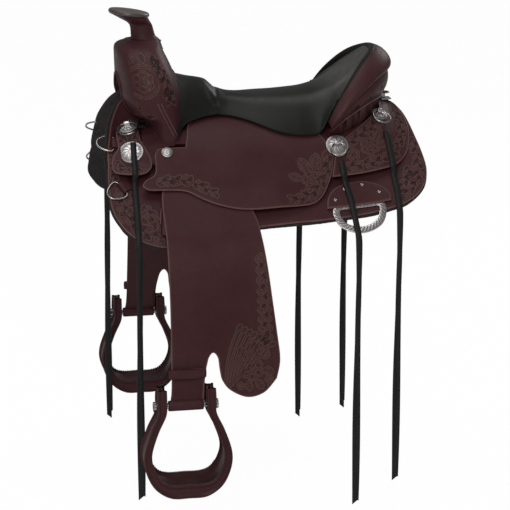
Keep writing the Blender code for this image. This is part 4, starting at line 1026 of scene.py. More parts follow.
def fork_at(z):
    """Front, rear and half-width of the fork at a height, read from smooth curves through its levels."""
    rows = columns_through(FORK_LEVELS, 8)
    return [np.interp(z, rows[:, 0], rows[:, k]) for k in (1, 2, 3)]


def fork_low(y):
    """Where the fork's skin ends: on the gullet's arch over the middle, and on the tree's bars at its
    legs."""
    y = np.abs(y)
    run, across, down, slope = SKIRT_SIDE
    crest = np.interp(run, (30, 60, 85, 137, 165), (0.35, 0.8, 1.0, 0.95, 0.55)) * 27.0 + 17.8
    bar = np.interp(y, across + crest * np.sin(slope), down + crest * np.cos(slope)) - 3.0
    arch = GULLET_SPRING + GULLET_CROWN * np.sqrt(np.clip(1 - (y / GULLET_HALF) ** 2, 0, 1))
    return np.where(y < GULLET_HALF, arch, bar)


def fork_carving():
    """The tooled ring with its rosette on the fork's swell, and leaves along the rear edge, in (x, z)."""
    ring = np.linspace(0, 2 * math.pi, 60)
    parts = [strokes(np.stack((-250 + r * np.cos(ring), 122 + r * np.sin(ring)), axis=1)) for r in (33, 29.5)]
    parts += [flower(-250, 122, 21), flower(-216, 158, 12, 5), flower(-200, 96, 11, 5)]
    parts += [vine(((-232, 180), (-222, 168), (-212, 150), (-203, 128), (-196, 104), (-190, 78)), 30, 11)]
    parts += [vine(((-284, 84), (-270, 68), (-252, 54), (-232, 40)), 22, 12), scroll(-268, 164, 8, 60, 1)]
    leaves = ((-284, 150, 18, 60), (-246, 160, 16, 110), (-278, 100, 14, -60))
    parts += [leaf(*place, 0.3, 3) for place in leaves]
    return np.vstack(parts)


class SADDLE_OT_fork(SaddleOperator, bpy.types.Operator):
    """Make the fork's leather cover, its gullet lining and its bindings"""

    bl_idname = "saddle.fork"
    bl_label = "Fork"

    def execute(self, context):
        self.cover()
        self.gullet()
        for side, word in SIDES:
            self.binding(side, word)
        return {"FINISHED"}

    def cover(self):
        """The leather over the fork: rings from its top to its foot, each a rounded oblong, with five
        small rings over the top, carved where it faces sideways. The inside runs back up under it."""
        turn = round_turn(360)
        wide, deep = (np.sign(v) * np.abs(v) ** (2 / FORK_POWER) for v in (np.sin(turn), np.cos(turn)))
        y = 136.0 * wide
        for _ in range(3):
            y = fork_at(fork_low(y))[2] * wide
        low = fork_low(y)
        z = FORK_TOP[2] - (FORK_TOP[2] - low) * np.linspace(0, 1, 104)[:, None]
        front, rear, half = fork_at(z)
        skin = np.stack(((front + rear) / 2 + (rear - front) / 2 * deep, half * wide, z), axis=-1)
        shares, rises = np.array(FORK_CROWN).T[..., None]
        crown = FORK_TOP + shares[..., None] * (skin[0] - FORK_TOP)
        crown[..., 2] += rises
        outer = np.vstack((crown, skin))
        normal = np.cross(np.roll(outer, -1, axis=1) - np.roll(outer, 1, axis=1), np.gradient(outer, axis=0))
        normal /= np.maximum(np.linalg.norm(normal, axis=2, keepdims=True), 1e-9)
        if (normal[60] * (outer[60] - (-236, 0, 100))).sum() < 0:
            normal = -normal
        facing = np.abs(normal[..., 1]) > 0.55
        cut = np.zeros(outer.shape[:2])
        cut[facing] = np.exp(-(distance_to(outer[facing][:, ::2], fork_carving()) / 0.9) ** 2)
        outer = outer - 1000 * sizes().carving * cut[..., None] * normal
        inner = outer - FORK_LEATHER * normal
        parts = loft(np.vstack((outer, inner[::-1])), ((-236, 0, 196.2), (-236, 0, 190.5)))
        count = len(parts[0])
        depth = np.vstack((np.full(crown.shape[:2], FAR_IN), np.clip(z - low, 0, FAR_IN)))
        # The carving's cut also paints shade in its grooves and a highlight beside them.
        make("fork_leather", parts, "saddle leather", "saddle", "fork_cover", ("fork_cover",),
             filled(cut, count), filled(depth, count, FAR_IN))

    def gullet(self):
        """The gullet's lining along its arch, which runs straight down at both feet, and a welt at each
        end."""
        a = np.linspace(-0.5, math.pi + 0.5, 61)
        held = np.clip(a, 0, math.pi)
        y = (GULLET_HALF - 0.7) * np.cos(held)
        z = GULLET_SPRING + (GULLET_CROWN - 0.7) * np.sin(held) - 90 * np.abs(a - held)
        front, rear, half = fork_at(z)
        middle = (front + rear) / 2
        reach = (rear - front) / 2 * (1 - np.abs(y / half) ** FORK_POWER) ** (1 / FORK_POWER)
        share = np.linspace(-0.985, 0.985, 16)[:, None]
        lining = np.stack(np.broadcast_arrays(middle + share * reach, y, z), axis=-1)
        back = lining - 1.4 * np.stack((0 * y, np.cos(a), np.sin(a)), axis=-1)
        make("gullet_lining", slab(lining, back), "saddle leather", "saddle", "fork_cover")
        lines = [np.stack((middle + sign * (reach + 0.6), y, z), axis=1) for sign in (-1, 1)]
        welts = [tube(line, round_section(2.6, 10), (sign, 0.0, 0.0)) for line, sign in zip(lines, (-1, 1))]
        make("gullet_welt", joined(welts), "rolled leather", "saddle", "fork_cover")

    def binding(self, side, word):
        """Two cords down the rear of a leg, on the fork's skin."""
        z = np.linspace(6, 78, 50)
        front, rear, half = fork_at(z)
        out = np.array((0.1, side, 0.0))
        parts = []
        for shift in (0.0, 7.5):
            x = np.interp(z, (6, 22, 65, 78), (-187, -195, -217, -222)) + shift
            share = np.abs(2 * x - front - rear) / (rear - front)
            y = half * (1 - share**FORK_POWER) ** (1 / FORK_POWER)
            line = np.stack((x, side * y, z), axis=1) + 0.4 * out
            parts.append(tube(line, round_section(1.3, 8, 0.7), out))
        make(f"leg_binding_{word}", joined(parts), "welt leather", "saddle", "fork_cover")


class SADDLE_OT_horn(SaddleOperator, bpy.types.Operator):
    """Make the horn's wrapped neck and its broad cap"""

    bl_idname = "saddle.horn"
    bl_label = "Horn"

    def execute(self, context):
        rows = columns_through(HORN_LEVELS, 9)
        a = round_turn(96)
        x, z, rx, ry, lean = (rows[:, k, None] for k in range(5))
        lean = np.radians(lean)
        level_x = rx * np.cos(a)
        swell = 1 + 0.5 * np.sin(np.clip((z - 196) / 30, 0, 1) * 9 * math.pi + 2 * a) / 60
        rings = (x + level_x * swell * np.cos(lean), ry * np.sin(a) * swell, z - level_x * np.sin(lean))
        neck = loft(np.stack(rings, axis=-1), ((-228, 0, 172), (-262, 0, 245)))
        make("horn_neck", neck, "rolled leather", "saddle", "horn_wrap", ("horn_wrap",))

        disc, quads, caps = turned(HORN_CAP, 96)
        disc[:, 2] += 0.4
        c, s = math.cos(math.radians(8.0)), math.sin(math.radians(8.0))
        world = (-262 + disc[:, 0] * c + disc[:, 2] * s, disc[:, 1], 245 - disc[:, 0] * s + disc[:, 2] * c)
        radius = np.linalg.norm(disc[:, :2], axis=1)
        # Painted shade in the groove round the cap, with a painted highlight beside it.
        groove = np.exp(-((radius - 37.6) / 0.9) ** 2) * (disc[:, 2] > 5)
        make("horn_top", (np.stack(world, axis=1), quads, caps), "cap leather", "saddle", "horn_wrap",
             ("horn_cap",), groove)

        ring = np.linspace(0, 2 * math.pi, 90)
        base = np.stack((-228 + 33.2 * np.cos(ring), 30.6 * np.sin(ring), 0 * ring + 189), axis=1)
        out = np.stack((np.cos(ring), np.sin(ring), 0 * ring + 0.4), axis=1)
        seam = (tube(base[:-1], round_section(1.5, 8), out[:-1], True), stitches(base + out * 1.4, out))
        make("horn_seam", joined(seam), "thread", "saddle", "horn_wrap")
        return {"FINISHED"}


def seat_surface(rows, v):
    """The seat's upper surface: across, the edge is reached as the 2.4 power in x and the 2.2 power in z."""
    xs, zs, xe, ye, ze = (rows[:, k, None] for k in range(5))
    out = np.abs(v)
    x = xe + (xs - xe) * (1 - out**2.4)
    z = zs + (ze - zs) * out**2.2
    swell = 4.6 * np.exp(-((out - 0.5) / 0.18) ** 2) - 2.2 * np.exp(-(out / 0.3) ** 2)
    swell = swell * np.clip((x + 60) / 80, 0, 1) * np.clip((230 - x) / 90, 0, 1)
    crease = 1.6 * np.exp(-((x + 78 + 10 * out) / 5.0) ** 2) * (out < 0.8)
    ripple = 0.9 * np.exp(-((x + 92) / 16.0) ** 2) * np.cos(14 * v + 0.2 * x)
    return np.stack(np.broadcast_arrays(x, ye * v, z + swell - crease + ripple), axis=-1)


class SADDLE_OT_seat(SaddleOperator, bpy.types.Operator):
    """Make the padded black leather seat"""

    bl_idname = "saddle.seat"
    bl_label = "Seat"

    def execute(self, context):
        rows = columns_through(SEAT_ROWS, 14)
        v = np.sin(math.pi / 2 * np.linspace(-1, 1, 121))
        top = seat_surface(rows, v)
        normal = unit(np.cross(np.gradient(top, axis=0), np.gradient(top, axis=1)))
        normal *= np.sign(normal[len(rows) // 2, 60, 2])
        share = np.linspace(0, 1, len(rows))[:, None]
        thick = (3.5 + 10.0 * (1 - np.abs(v) ** 3)) * np.clip(np.minimum(share, 1 - share) * 14 + 0.1, 0, 1)
        parts = slab(top, top - normal * thick[..., None])
        x, _, z = parts[0].T
        # Painted sheen: the seat's rim number holds no depth from its rim. It is lowered where the seat rises
        # into the cantle and along the crest of each swell, which paints the grey sheen colour there.
        dish_sheen = np.clip((x - 120) / 70, 0, 1) * np.clip((z - 40) / 60, 0, 1)
        ridge_highlight = np.exp(-(((np.abs(v) - 0.5) / 0.09) ** 2)) * np.clip((top[..., 0] + 80) / 30, 0, 1)
        ridge_highlight = filled(ridge_highlight, len(x)) * np.clip((235 - x) / 60, 0, 1)
        made = make("seat_pad", parts, "seat leather", "saddle", "seat_leather", ("seat",),
                    rim=3.4 - 1.5 * dish_sheen - 1.0 * ridge_highlight)
        welts = []
        for sign, column in ((-1, 1), (1, -2)):
            line = seat_surface(rows, np.array((sign * 0.985, sign * 1.0)))[:, 0] + 0.4 * normal[:, column]
            welts.append(tube(line[10:], round_section(1.6, 8), normal[10:, column]))
        make("seat_welt", joined(welts), "seat leather", "saddle", "seat_leather")
        return {"FINISHED"}


def cantle_lines(steps):
    """The cantle's stations from the near end to the far one, eased: rim, outward direction in plan,
    sizes."""
    half = [np.array(row, float) for row in CANTLE_RIM]
    rows = np.array([row * (1, -1, 1, 1, 1, 1) for row in reversed(half[1:])] + half)
    rows = columns_through(rows, steps)
    ahead = np.gradient(rows[:, :2], axis=0)
    return rows, unit(np.stack((ahead[:, 1], -ahead[:, 0]), axis=1))


def at_station(rows, outward, out, rise):
    """World points this far out from the rim in plan, and this far above it."""
    x, y = (rows[:, k, None] + outward[:, k, None] * out for k in (0, 1))
    return np.stack((x, y, rows[:, 2, None] + rise), axis=-1)


def on_roll(rows, outward, u, w, grow=0.0):
    """Points of the cantle roll, whose section is a tilted ellipse: shares of its two half widths, each grown
    by this much."""
    size = rows[:, 5, None]
    u, w = (ROLL_WIDE * size + grow) * u, (ROLL_DEEP * size + grow) * w
    c, s = math.cos(ROLL_TILT), math.sin(ROLL_TILT)
    return at_station(rows, outward, ROLL_OUT * size + u * c + w * s, ROLL_RISE * size - u * s + w * c)


class SADDLE_OT_cantle(SaddleOperator, bpy.types.Operator):
    """Make the cantle's leather back, its carving, roll and welts"""

    bl_idname = "saddle.cantle"
    bl_label = "Cantle"

    def execute(self, context):
        rows, outward = cantle_lines(22)
        a = round_turn(44)
        roll = loft(on_roll(rows, outward, np.cos(a), np.sin(a)))
        make("cantle_roll_leather", roll, "rolled leather", nodes=("cantle_roll",))
        b = np.radians(np.linspace(142, 262, 26))
        shells = [on_roll(rows, outward, np.cos(b), np.sin(b), grow) for grow in (0.9, -0.6)]
        make("cantle_dish", slab(*shells), "seat leather", "saddle", "seat_leather")
        self.back(rows, outward)
        away = np.pad(outward, ((0, 0), (0, 1)))
        foot = at_station(rows, outward, rows[:, 3, None] + 1.5, 3 - rows[:, 4, None])[8:-8, 0]
        make("cantle_welt", tube(foot, round_section(2.2, 10), away[8:-8]), "welt leather")
        seam = on_roll(rows, outward, -0.2, 0.98)[6:-6, 0]
        make("cantle_stitching", stitches(seam, 0.4 * away[6:-6] + (0, 0, 1)), "thread")
        return {"FINISHED"}

    def back(self, rows, outward):
        """The carved back: it bows out from under the roll to the cantle's foot, and goes on under the
        jockey."""
        size, base, drop = rows[:, 5, None], rows[:, 3, None], rows[:, 4, None]
        w = np.linspace(0, 1, 60)
        out = 36 * size * (1 - w) + base * w + 12 * size * np.sin(math.pi * w)
        rise = -30 * size * (1 - w) - drop * w
        out, rise = np.hstack((out, base - 2)), np.hstack((rise, -drop - 40))
        run = lengths_along(rows[:, :3])
        run -= run.mean()
        flat = np.stack(np.broadcast_arrays(run[:, None], rise), axis=-1).reshape(-1, 2)
        stem = ((30, -75), (0.35 * run[-1], -78), (0.55 * run[-1], -66), (0.78 * run[-1], -52))
        vines = [vine([(sign * x, z) for x, z in stem], 34, 22) for sign in (-1, 1)]
        near = distance_to(flat, np.vstack((*vines, flower(0, -76, 22))))
        cut = np.exp(-(near / 0.95) ** 2).reshape(out.shape)
        away = np.pad(outward, ((0, 0), (0, 1)))[:, None]
        face = at_station(rows, outward, out, rise) - 0.8 * cut[..., None] * away
        # The carving's cut also paints shade in its grooves and a highlight beside them.
        make("cantle_back_leather", slab(face, face - 8.0 * away), "saddle leather", nodes=("cantle_back",),
             carve=filled(cut, 2 * cut.size))


def pile(x, s):
    """The fleece's underside: sums of short waves that never line up stand for the wool's lumps."""
    lumps = 0.55 * np.sin(0.9 * x + 1.7 * np.sin(0.31 * s)) * np.sin(0.8 * s + 1.3 * np.sin(0.37 * x))
    return lumps + 0.35 * np.sin(2.1 * x + 0.4 * s) * np.sin(1.9 * s - 0.5 * x) - 0.5


class SADDLE_OT_fleeces(SaddleOperator, bpy.types.Operator):
    """Make the dark fleeces under the skirts"""

    bl_idname = "saddle.fleeces"
    bl_label = "Fleeces"

    def execute(self, context):
        outline = through(SKIRT_OUTLINE)
        wave = 2.2 + 0.6 * np.sin(0.4 * np.arange(len(outline)))
        outline = outline + wave[:, None] * outward_from(outline)
        for side, word in SIDES:
            parts, depth = panel(outline, (0, 170), level(0.0), FLEECE_TOP, side, 34, 3.6, 5.5, pile)
            made = make(f"fleece_pile_{word}", parts, "wool", "saddle", "fleece", (f"fleece_{word}",),
                        rim=depth)
        return {"FINISHED"}


def skirt_carving():
    """Leaves and scrolls in the skirt's two lower corners and along its front, in (x, s)."""
    parts = [
        vine(((-298, 196), (-306, 236), (-298, 270), (-270, 300), (-236, 312)), 36, 14),
        vine(((-318, 120), (-318, 150), (-316, 186)), 14, 11),
        vine(((-262, 240), (-250, 268), (-226, 292)), 26, 13),
        vine(((327, 128), (330, 166), (327, 206), (312, 244), (282, 263)), 26, 14),
        vine(((306, 196), (300, 224), (276, 246)), 22, 12), flower(-284, 262, 16, 5), flower(308, 222, 13, 5),
    ]
    return np.vstack(parts)


class SADDLE_OT_skirts(SaddleOperator, bpy.types.Operator):
    """Make the skirts with their carved corners and stitched rims"""

    bl_idname = "saddle.skirts"
    bl_label = "Skirts"

    def execute(self, context):
        outline = through(SKIRT_OUTLINE)
        top = level(SKIRT_TOP)
        for side, word in SIDES:
            parts, depth = panel(outline, (0, 170), level(SKIRT_LOW), SKIRT_TOP - SKIRT_LOW, side, 28, 2.8)
            make(f"skirt_leather_{word}", parts, "saddle leather", nodes=(f"skirt_{word}",), rim=depth)
            self.flap(side, word)
            make(f"skirt_stitching_{word}", rim_stitching(outline, 5.5, top, side, 150), "thread")
        tooling("skirt_tooling", skirt_carving(), outline, top)
        return {"FINISHED"}

    def flap(self, side, word):
        """The skirt's front where it rises to the gullet: a sheet through rows of three points, smooth along
        its edge and a parabola across, with its wool behind it."""
        rows = columns_through(FLAP_ROWS, 12).reshape(-1, 3, 3)
        t = np.linspace(0, 1, 24)[:, None]
        first, middle, last = (rows[:, k, None] for k in range(3))
        face = (1 - t) * (1 - 2 * t) * first + 4 * t * (1 - t) * middle + t * (2 * t - 1) * last
        normal = unit(np.cross(np.gradient(face, axis=0), np.gradient(face, axis=1)))
        normal *= -np.sign(normal[30, 12, 1])
        mirror = (1, -side, 1)
        leather = slab(face * mirror, (face - 0.24 * SKIRT_TOP * normal) * mirror)
        near = np.broadcast_to(30 * t[:, 0], face.shape[:2])
        make(f"skirt_front_{word}", leather, "saddle leather", rim=filled(near, 2 * near.size, FAR_IN))
        face = face + np.array((-3.5, 0, 0)) * (1 - t) ** 4
        thick = 4.4 + 9.0 * np.minimum(1, 5 * t + 0.25)
        wool = slab((face - 4.2 * normal) * mirror, (face - thick * normal) * mirror)
        make(f"fleece_front_{word}", wool, "wool", "saddle", "fleece")


def side_jockey_carving():
    """Leaves in the jockey's two lower corners, and a vine at its front, in (x, s)."""
    parts = [
        vine(((-232, 200), (-200, 196), (-170, 198), (-140, 214), (-112, 232)), 24, 12),
        flower(-196, 200, 9, 5),
        vine(((136, 146), (130, 184), (114, 216), (82, 240), (44, 256)), 30, 14), flower(92, 206, 19, 5),
        leaf(100, 184, 34, 285), leaf(84, 188, 30, 250), leaf(112, 190, 26, 310), leaf(70, 204, 24, 200),
    ]
    return np.vstack(parts)


def rear_jockey_carving():
    """Vines along the rear jockey's edges round two flowers, in (x, s)."""
    parts = [
        vine(((166, 188), (206, 184), (246, 180), (290, 158)), 26, 13), flower(226, 146, 20, 6),
        vine(((168, 150), (182, 134), (206, 118), (236, 104), (262, 82)), 26, 13), flower(188, 162, 12, 5),
        vine(((302, 50), (306, 90), (302, 128), (284, 152)), 20, 12),
        leaf(246, 148, 28, 340), leaf(240, 132, 28, 300),
    ]
    return np.vstack(parts)


def lobe_carving():
    """Three short vines on the lobe under the fork, in (x, s)."""
    parts = [
        vine(((-290, 66), (-292, 84), (-294, 100)), 20, 11),
        vine(((-264, 60), (-264, 80), (-262, 96)), 16, 11),
        vine(((-304, 138), (-304, 158), (-282, 168), (-256, 166)), 16, 11),
    ]
    return np.vstack(parts)


class SADDLE_OT_jockeys(SaddleOperator, bpy.types.Operator):
    """Make the front, side and rear jockeys, which lie over the tree's bars"""

    bl_idname = "saddle.jockeys"
    bl_label = "Jockeys"

    def execute(self, context):
        shapes = (
            ("side_jockey", SIDE_JOCKEY_OUTLINE, (-55, 165), side_jockey_carving(), 30),
            ("rear_jockey", REAR_JOCKEY_OUTLINE, (240, 140), rear_jockey_carving(), 24),
            ("front_jockey", LOBE_OUTLINE, (-280, 120), lobe_carving(), 20),
        )
        for name, shape, centre, carving, rings in shapes:
            outline = through(shape)
            for side, word in SIDES:
                parts, depth = panel(outline, centre, raised_floor, JOCKEY, side, rings, 2.1)
                make(f"{name}_leather_{word}", parts, "saddle leather", nodes=(f"{name}_{word}",), rim=depth)
                make(f"{name}_stitching_{word}", rim_stitching(outline, 5.0, jockey_top, side), "thread")
            tooling(f"{name}_tooling", carving, outline, jockey_top)
        return {"FINISHED"}


def dee_line(centre, grow):
    """A rigging dee's outline, grown or shrunk: a straight bar at the top and a round bow."""
    x, top = centre
    half, length = DEE_HALF + grow, DEE_LENGTH + 2 * grow
    top -= grow
    points = (
        (x - half + 8, top, 1), (x + half - 8, top, 1), (x + half, top + 8), (x + half, top + 24),
        (x + 0.72 * half, top + 0.8 * length), (x, top + length), (x - 0.72 * half, top + 0.8 * length),
        (x - half, top + 24), (x - half, top + 8),
    )
    return through(points, 14)


class SADDLE_OT_rigging(SaddleOperator, bpy.types.Operator):
    """Make the rigging plates, their rivets and the engraved rigging dees"""

    bl_idname = "saddle.rigging"
    bl_label = "Rigging"

    def execute(self, context):
        for side, word in SIDES:
            for place, centre in (("front", FRONT_DEE), ("rear", REAR_DEE)):
                x, top = centre
                scale = min((top + 10 - 214) / 72, 1.0)
                outline = through([(x + a, top + 10 + (b - 286) * scale, *c) for a, b, *c in PLATE_OUTLINE])
                thick = PLATE_TOP - DEE_LOW
                parts, depth = panel(outline, (x, top - 22), level(DEE_LOW), thick, side, 24, 2.2)
                nodes = (f"rigging_plate_{word}",) if place == "rear" else ()
                make(f"rigging_leather_{place}_{word}", parts, "saddle leather", nodes=nodes, rim=depth)
                seam = rim_stitching(outline, 4.5, level(PLATE_TOP - 0.35), side)
                make(f"rigging_stitching_{place}_{word}", seam, "thread")
                self.dee(place, centre, side, word)
            rivets = [self.rivet(x, s, side) for x, s in RIVETS]
            make(f"rivets_{word}", joined(rivets), "bright wire", "saddle", "hardware_steel")
        return {"FINISHED"}

    def dee(self, place, centre, side, word):
        """A dee's band, engraved with scrolls between two beaded edges; the ground between them is dark."""
        x, s = evenly(dee_line(centre, -DEE_BAND / 2), 320).T
        low, high = (wrap(FLAT_SIDE, x, s, height, side) for height in ((DEE_LOW + DEE_TOP) / 2, DEE_TOP + 1))
        across = np.linspace(-1, 1, 15)
        out = np.abs(across)
        phase = round_turn(320)[:, None]
        scrolls = np.abs(np.sin(17 * phase + 2.2 * across)) * (out < 0.72)
        beads = np.cos(130 * phase) * (np.abs(out - 0.86) < 0.08)
        relief = 0.45 * scrolls + 0.12 * beads - 0.35 * (np.abs(out - 0.76) < 0.05)
        crown = 1.15 + 0.35 * np.sqrt(np.clip(1 - across**2, 0, 1)) + 0.6 * relief
        upper = np.stack(np.broadcast_arrays(DEE_BAND / 2 * across, crown), axis=-1)
        under = np.stack((DEE_BAND / 2 * across[::-1], 0 * across - 1.4), axis=1)
        section = np.concatenate((upper, np.broadcast_to(under, upper.shape)), axis=1)
        dark = np.clip(1.25 - 1.7 * scrolls, 0, 1) * (out < 0.8)
        make(f"dee_{place}_{word}", tube(low, section, high - low, True), "engraved silver", "saddle",
             "hardware_steel", (f"rigging_dee_{place}_{word}",), np.hstack((dark, 0 * dark)).ravel())

    def rivet(self, x, s, side):
        """A domed rivet head with a dimple, laid on the plate at (x, s)."""
        profile = ((2.0, -0.6), (4.2, -0.4), (4.3, 0.4), (3.6, 1.3), (2.4, 1.8), (1.4, 1.5), (0.7, 1.3))
        disc = turned(profile, 18)
        origin = wrap(SKIRT_SIDE, x, s, PLATE_TOP, -1)
        out = wrap(SKIRT_SIDE, x, s, PLATE_TOP + 1, -1) - origin
        along = np.array((1.0, 0.0, 0.0))
        return carried(disc, (origin, along, np.cross(out, along), out), side)


def fender_edges():
    """The fender's front, foot, rear and top edges as smooth lines."""
    return [through(edge, 12, False) for edge in (FENDER_FRONT, FENDER_FOOT, FENDER_REAR, FENDER_TOP_EDGE)]


def fender_carving():
    """Scrollwork down the fender's rear edge, and a great flower with leaves round it in the lobe, in (x,
    s)."""
    parts = [flower(-64, 588, 23, 6), scroll(-36, 560, 12, 200, 1), scroll(-30, 612, 11, 90, -1)]
    parts += [scroll(-88, 620, 9, 0, 1), leaf(-54, 560, 26, 262, 0.3, 4), leaf(-40, 590, 22, 20, 0.3, 4)]
    parts += [leaf(-72, 614, 18, 80, 0.3, 3), leaf(-54, 612, 20, 55, 0.3, 3)]
    parts += [leaf(-36, 540, 22, 275, 0.28, 3)]
    parts += [leaf(-76, 564, 24, 235, 0.3, 4), scroll(-58, 534, 9, 30, -1)]
    t = np.linspace(0, 1, 16)[:, None]
    for k in range(8):
        start, bend = np.array(((-119 + 5 * k, 632 - 5 * k), (-121 + 9 * k, 560 + 3 * k)), float)
        end = np.array((-92 + 9.5 * k, 506 + 5 * k))
        parts.append(strokes((1 - t) ** 2 * start + 2 * t * (1 - t) * bend + t**2 * end))
        parts.append(leaf(*end, 13, -50 + 4 * k, 0.25, 2))
    t = np.linspace(0, 1, 60)
    for phase in (0.0, math.pi):
        band = -37 + 4 * t + (11 + 3 * t) * np.sin(9 * math.pi * t + phase)
        parts.append(strokes(np.stack((band, 362 + 172 * t), axis=1)))
    for k in range(9):
        x, y = -35 + 4 * k / 9, 372 + 172 * k / 9
        parts += [scroll(x, y, 7, 90, 1 - 2 * (k % 2), 1.1), leaf(x, y + 6, 10, 90 + 30 * (-1) ** k, 0.3, 2)]
    return np.vstack(parts)


def pinched(count, pinch, close):
    """Shares from 0 to 1, drawn towards both ends as a cosine is, with these two more close to each end."""
    t = np.linspace(0, 1, count)
    t = pinch * (0.5 - 0.5 * np.cos(math.pi * t)) + (1 - pinch) * t
    close = np.array(close)
    return np.concatenate((t[:1], close, t[1:-1], 1 - close[::-1], t[-1:]))


def shared_out(line, shares):
    """Points at these shares of a line's length."""
    run = lengths_along(line)
    return read_at(shares * run[-1], run, line)


class SADDLE_OT_fenders(SaddleOperator, bpy.types.Operator):
    """Make the stirrup leathers and the carved fenders, which fold up at the skirt's edge"""

    bl_idname = "saddle.fenders"
    bl_label = "Fenders"

    def execute(self, context):
        for side, word in SIDES:
            parts, depth = self.fender(side)
            made = put(f"fender_leather_{word}", *parts, finishes("saddle leather"), rim=depth)
            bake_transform(made)
            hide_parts(f"fender_{word}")
            self.strap(side, word)
            t = np.linspace(-1, 1, 24)[:, None]
            ends = np.array(BOLT) * (1, side, 1) + t * (36, 0, 0)
            radius = 11.0 * np.sqrt(np.clip(1 - np.abs(t) ** 16 * 0.1, 0, 1))
            eye = tube(ends, round_section(1.0, 40) * radius[..., None])
            make(f"fender_eye_{word}", eye, "saddle leather", f"fender_{word}")
            a = round_turn(64)
            loop = (-198.0 + 37.6 * np.cos(a), side * (BOLT[1] - 2.0 + 6.5 * np.sin(a)), 0 * a + BOLT[2] + 66)
            keeper = tube(np.stack(loop, axis=1), strap_section(2.4, 18.0), closed=True)
            make(f"keeper_{word}", keeper, "rolled leather", f"fender_{word}")
        front, foot, rear, top = fender_edges()
        outline = np.vstack((front[:-1], foot[:-1], rear[:0:-1], top[:0:-1]))
        tooling("fender_tooling", fender_carving(), outline, level(FENDER_TOP), "fender", HANGING_SIDE)
        return {"FINISHED"}

    def strap(self, side, word):
        """The stirrup leather: a band that starts as a half circle and runs down the side under the
        fender."""
        s = np.linspace(116, 321, 90)
        x = np.interp(s, (116, 152, 325), (-178, -178, -201))
        half = np.where(s < 152, 37 * np.sqrt(np.clip(1 - ((152 - s) / 37) ** 2, 0.02, 1)), 37.0)
        path = wrap(HANGING_SIDE, x, s, (STRAP_LOW + STRAP_TOP) / 2 - 0.2, side)
        up = wrap(HANGING_SIDE, x, s, 40.0, side) - path
        band = strap_section(2.0, 4.0) * np.stack((half, 0 * half + 1), axis=1)[:, None]
        make(f"stirrup_strap_{word}", tube(path, band, up), "saddle leather", f"stirrup_leather_{word}",
             nodes=(f"stirrup_leather_{word}",))

    def fender(self, side):
        """The fender's grid: straight lines from its top edge to its foot, pulled at both ends onto the front
        and rear edges. Its top and underside share the outline, and part from it as quarter circles."""
        u, v = pinched(120, 0.35, (0.0012, 0.0035)), pinched(160, 0.25, (0.0006, 0.0018))
        front, foot, rear, top = (shared_out(line, at) for line, at in zip(fender_edges(), (v, u, v, u)))
        a, b = u[:, None, None], v[None, :, None]
        flat = (1 - b) * top[:, None] + b * foot[:, None] + (1 - a) * front[None] + a * rear[None]
        flat = flat - (1 - b) * ((1 - a) * top[0] + a * top[-1]) - b * ((1 - a) * foot[0] + a * foot[-1])
        loop = np.vstack((flat[:, 0], flat[-1, 1:], flat[-2::-1, -1], flat[0, -2:0:-1]))
        close = distance_to(flat.reshape(-1, 2), segments(loop)).reshape(flat.shape[:2])
        edge = np.ones(close.shape, bool)
        edge[1:-1, 1:-1] = False
        full = np.where(edge, 0.0, edge_profile(close, 1000 * sizes().rim))
        half, mid = (FENDER_TOP - FENDER_LOW) / 2, (FENDER_TOP + FENDER_LOW) / 2
        x, s = flat[..., 0], flat[..., 1]
        faces = [wrap(HANGING_SIDE, x, s, mid + way * half * full, side).reshape(-1, 3) for way in (1, -1)]
        number = np.arange(close.size).reshape(close.shape)
        under = np.where(edge, number, number + close.size)
        quads = np.vstack((grid_quads(number), grid_quads(under)[:, ::-1]))
        used, again = np.unique(quads, return_inverse=True)
        return (np.vstack(faces)[used], again.reshape(-1, 4), ()), filled(close, 2 * close.size, FAR_IN)[used]


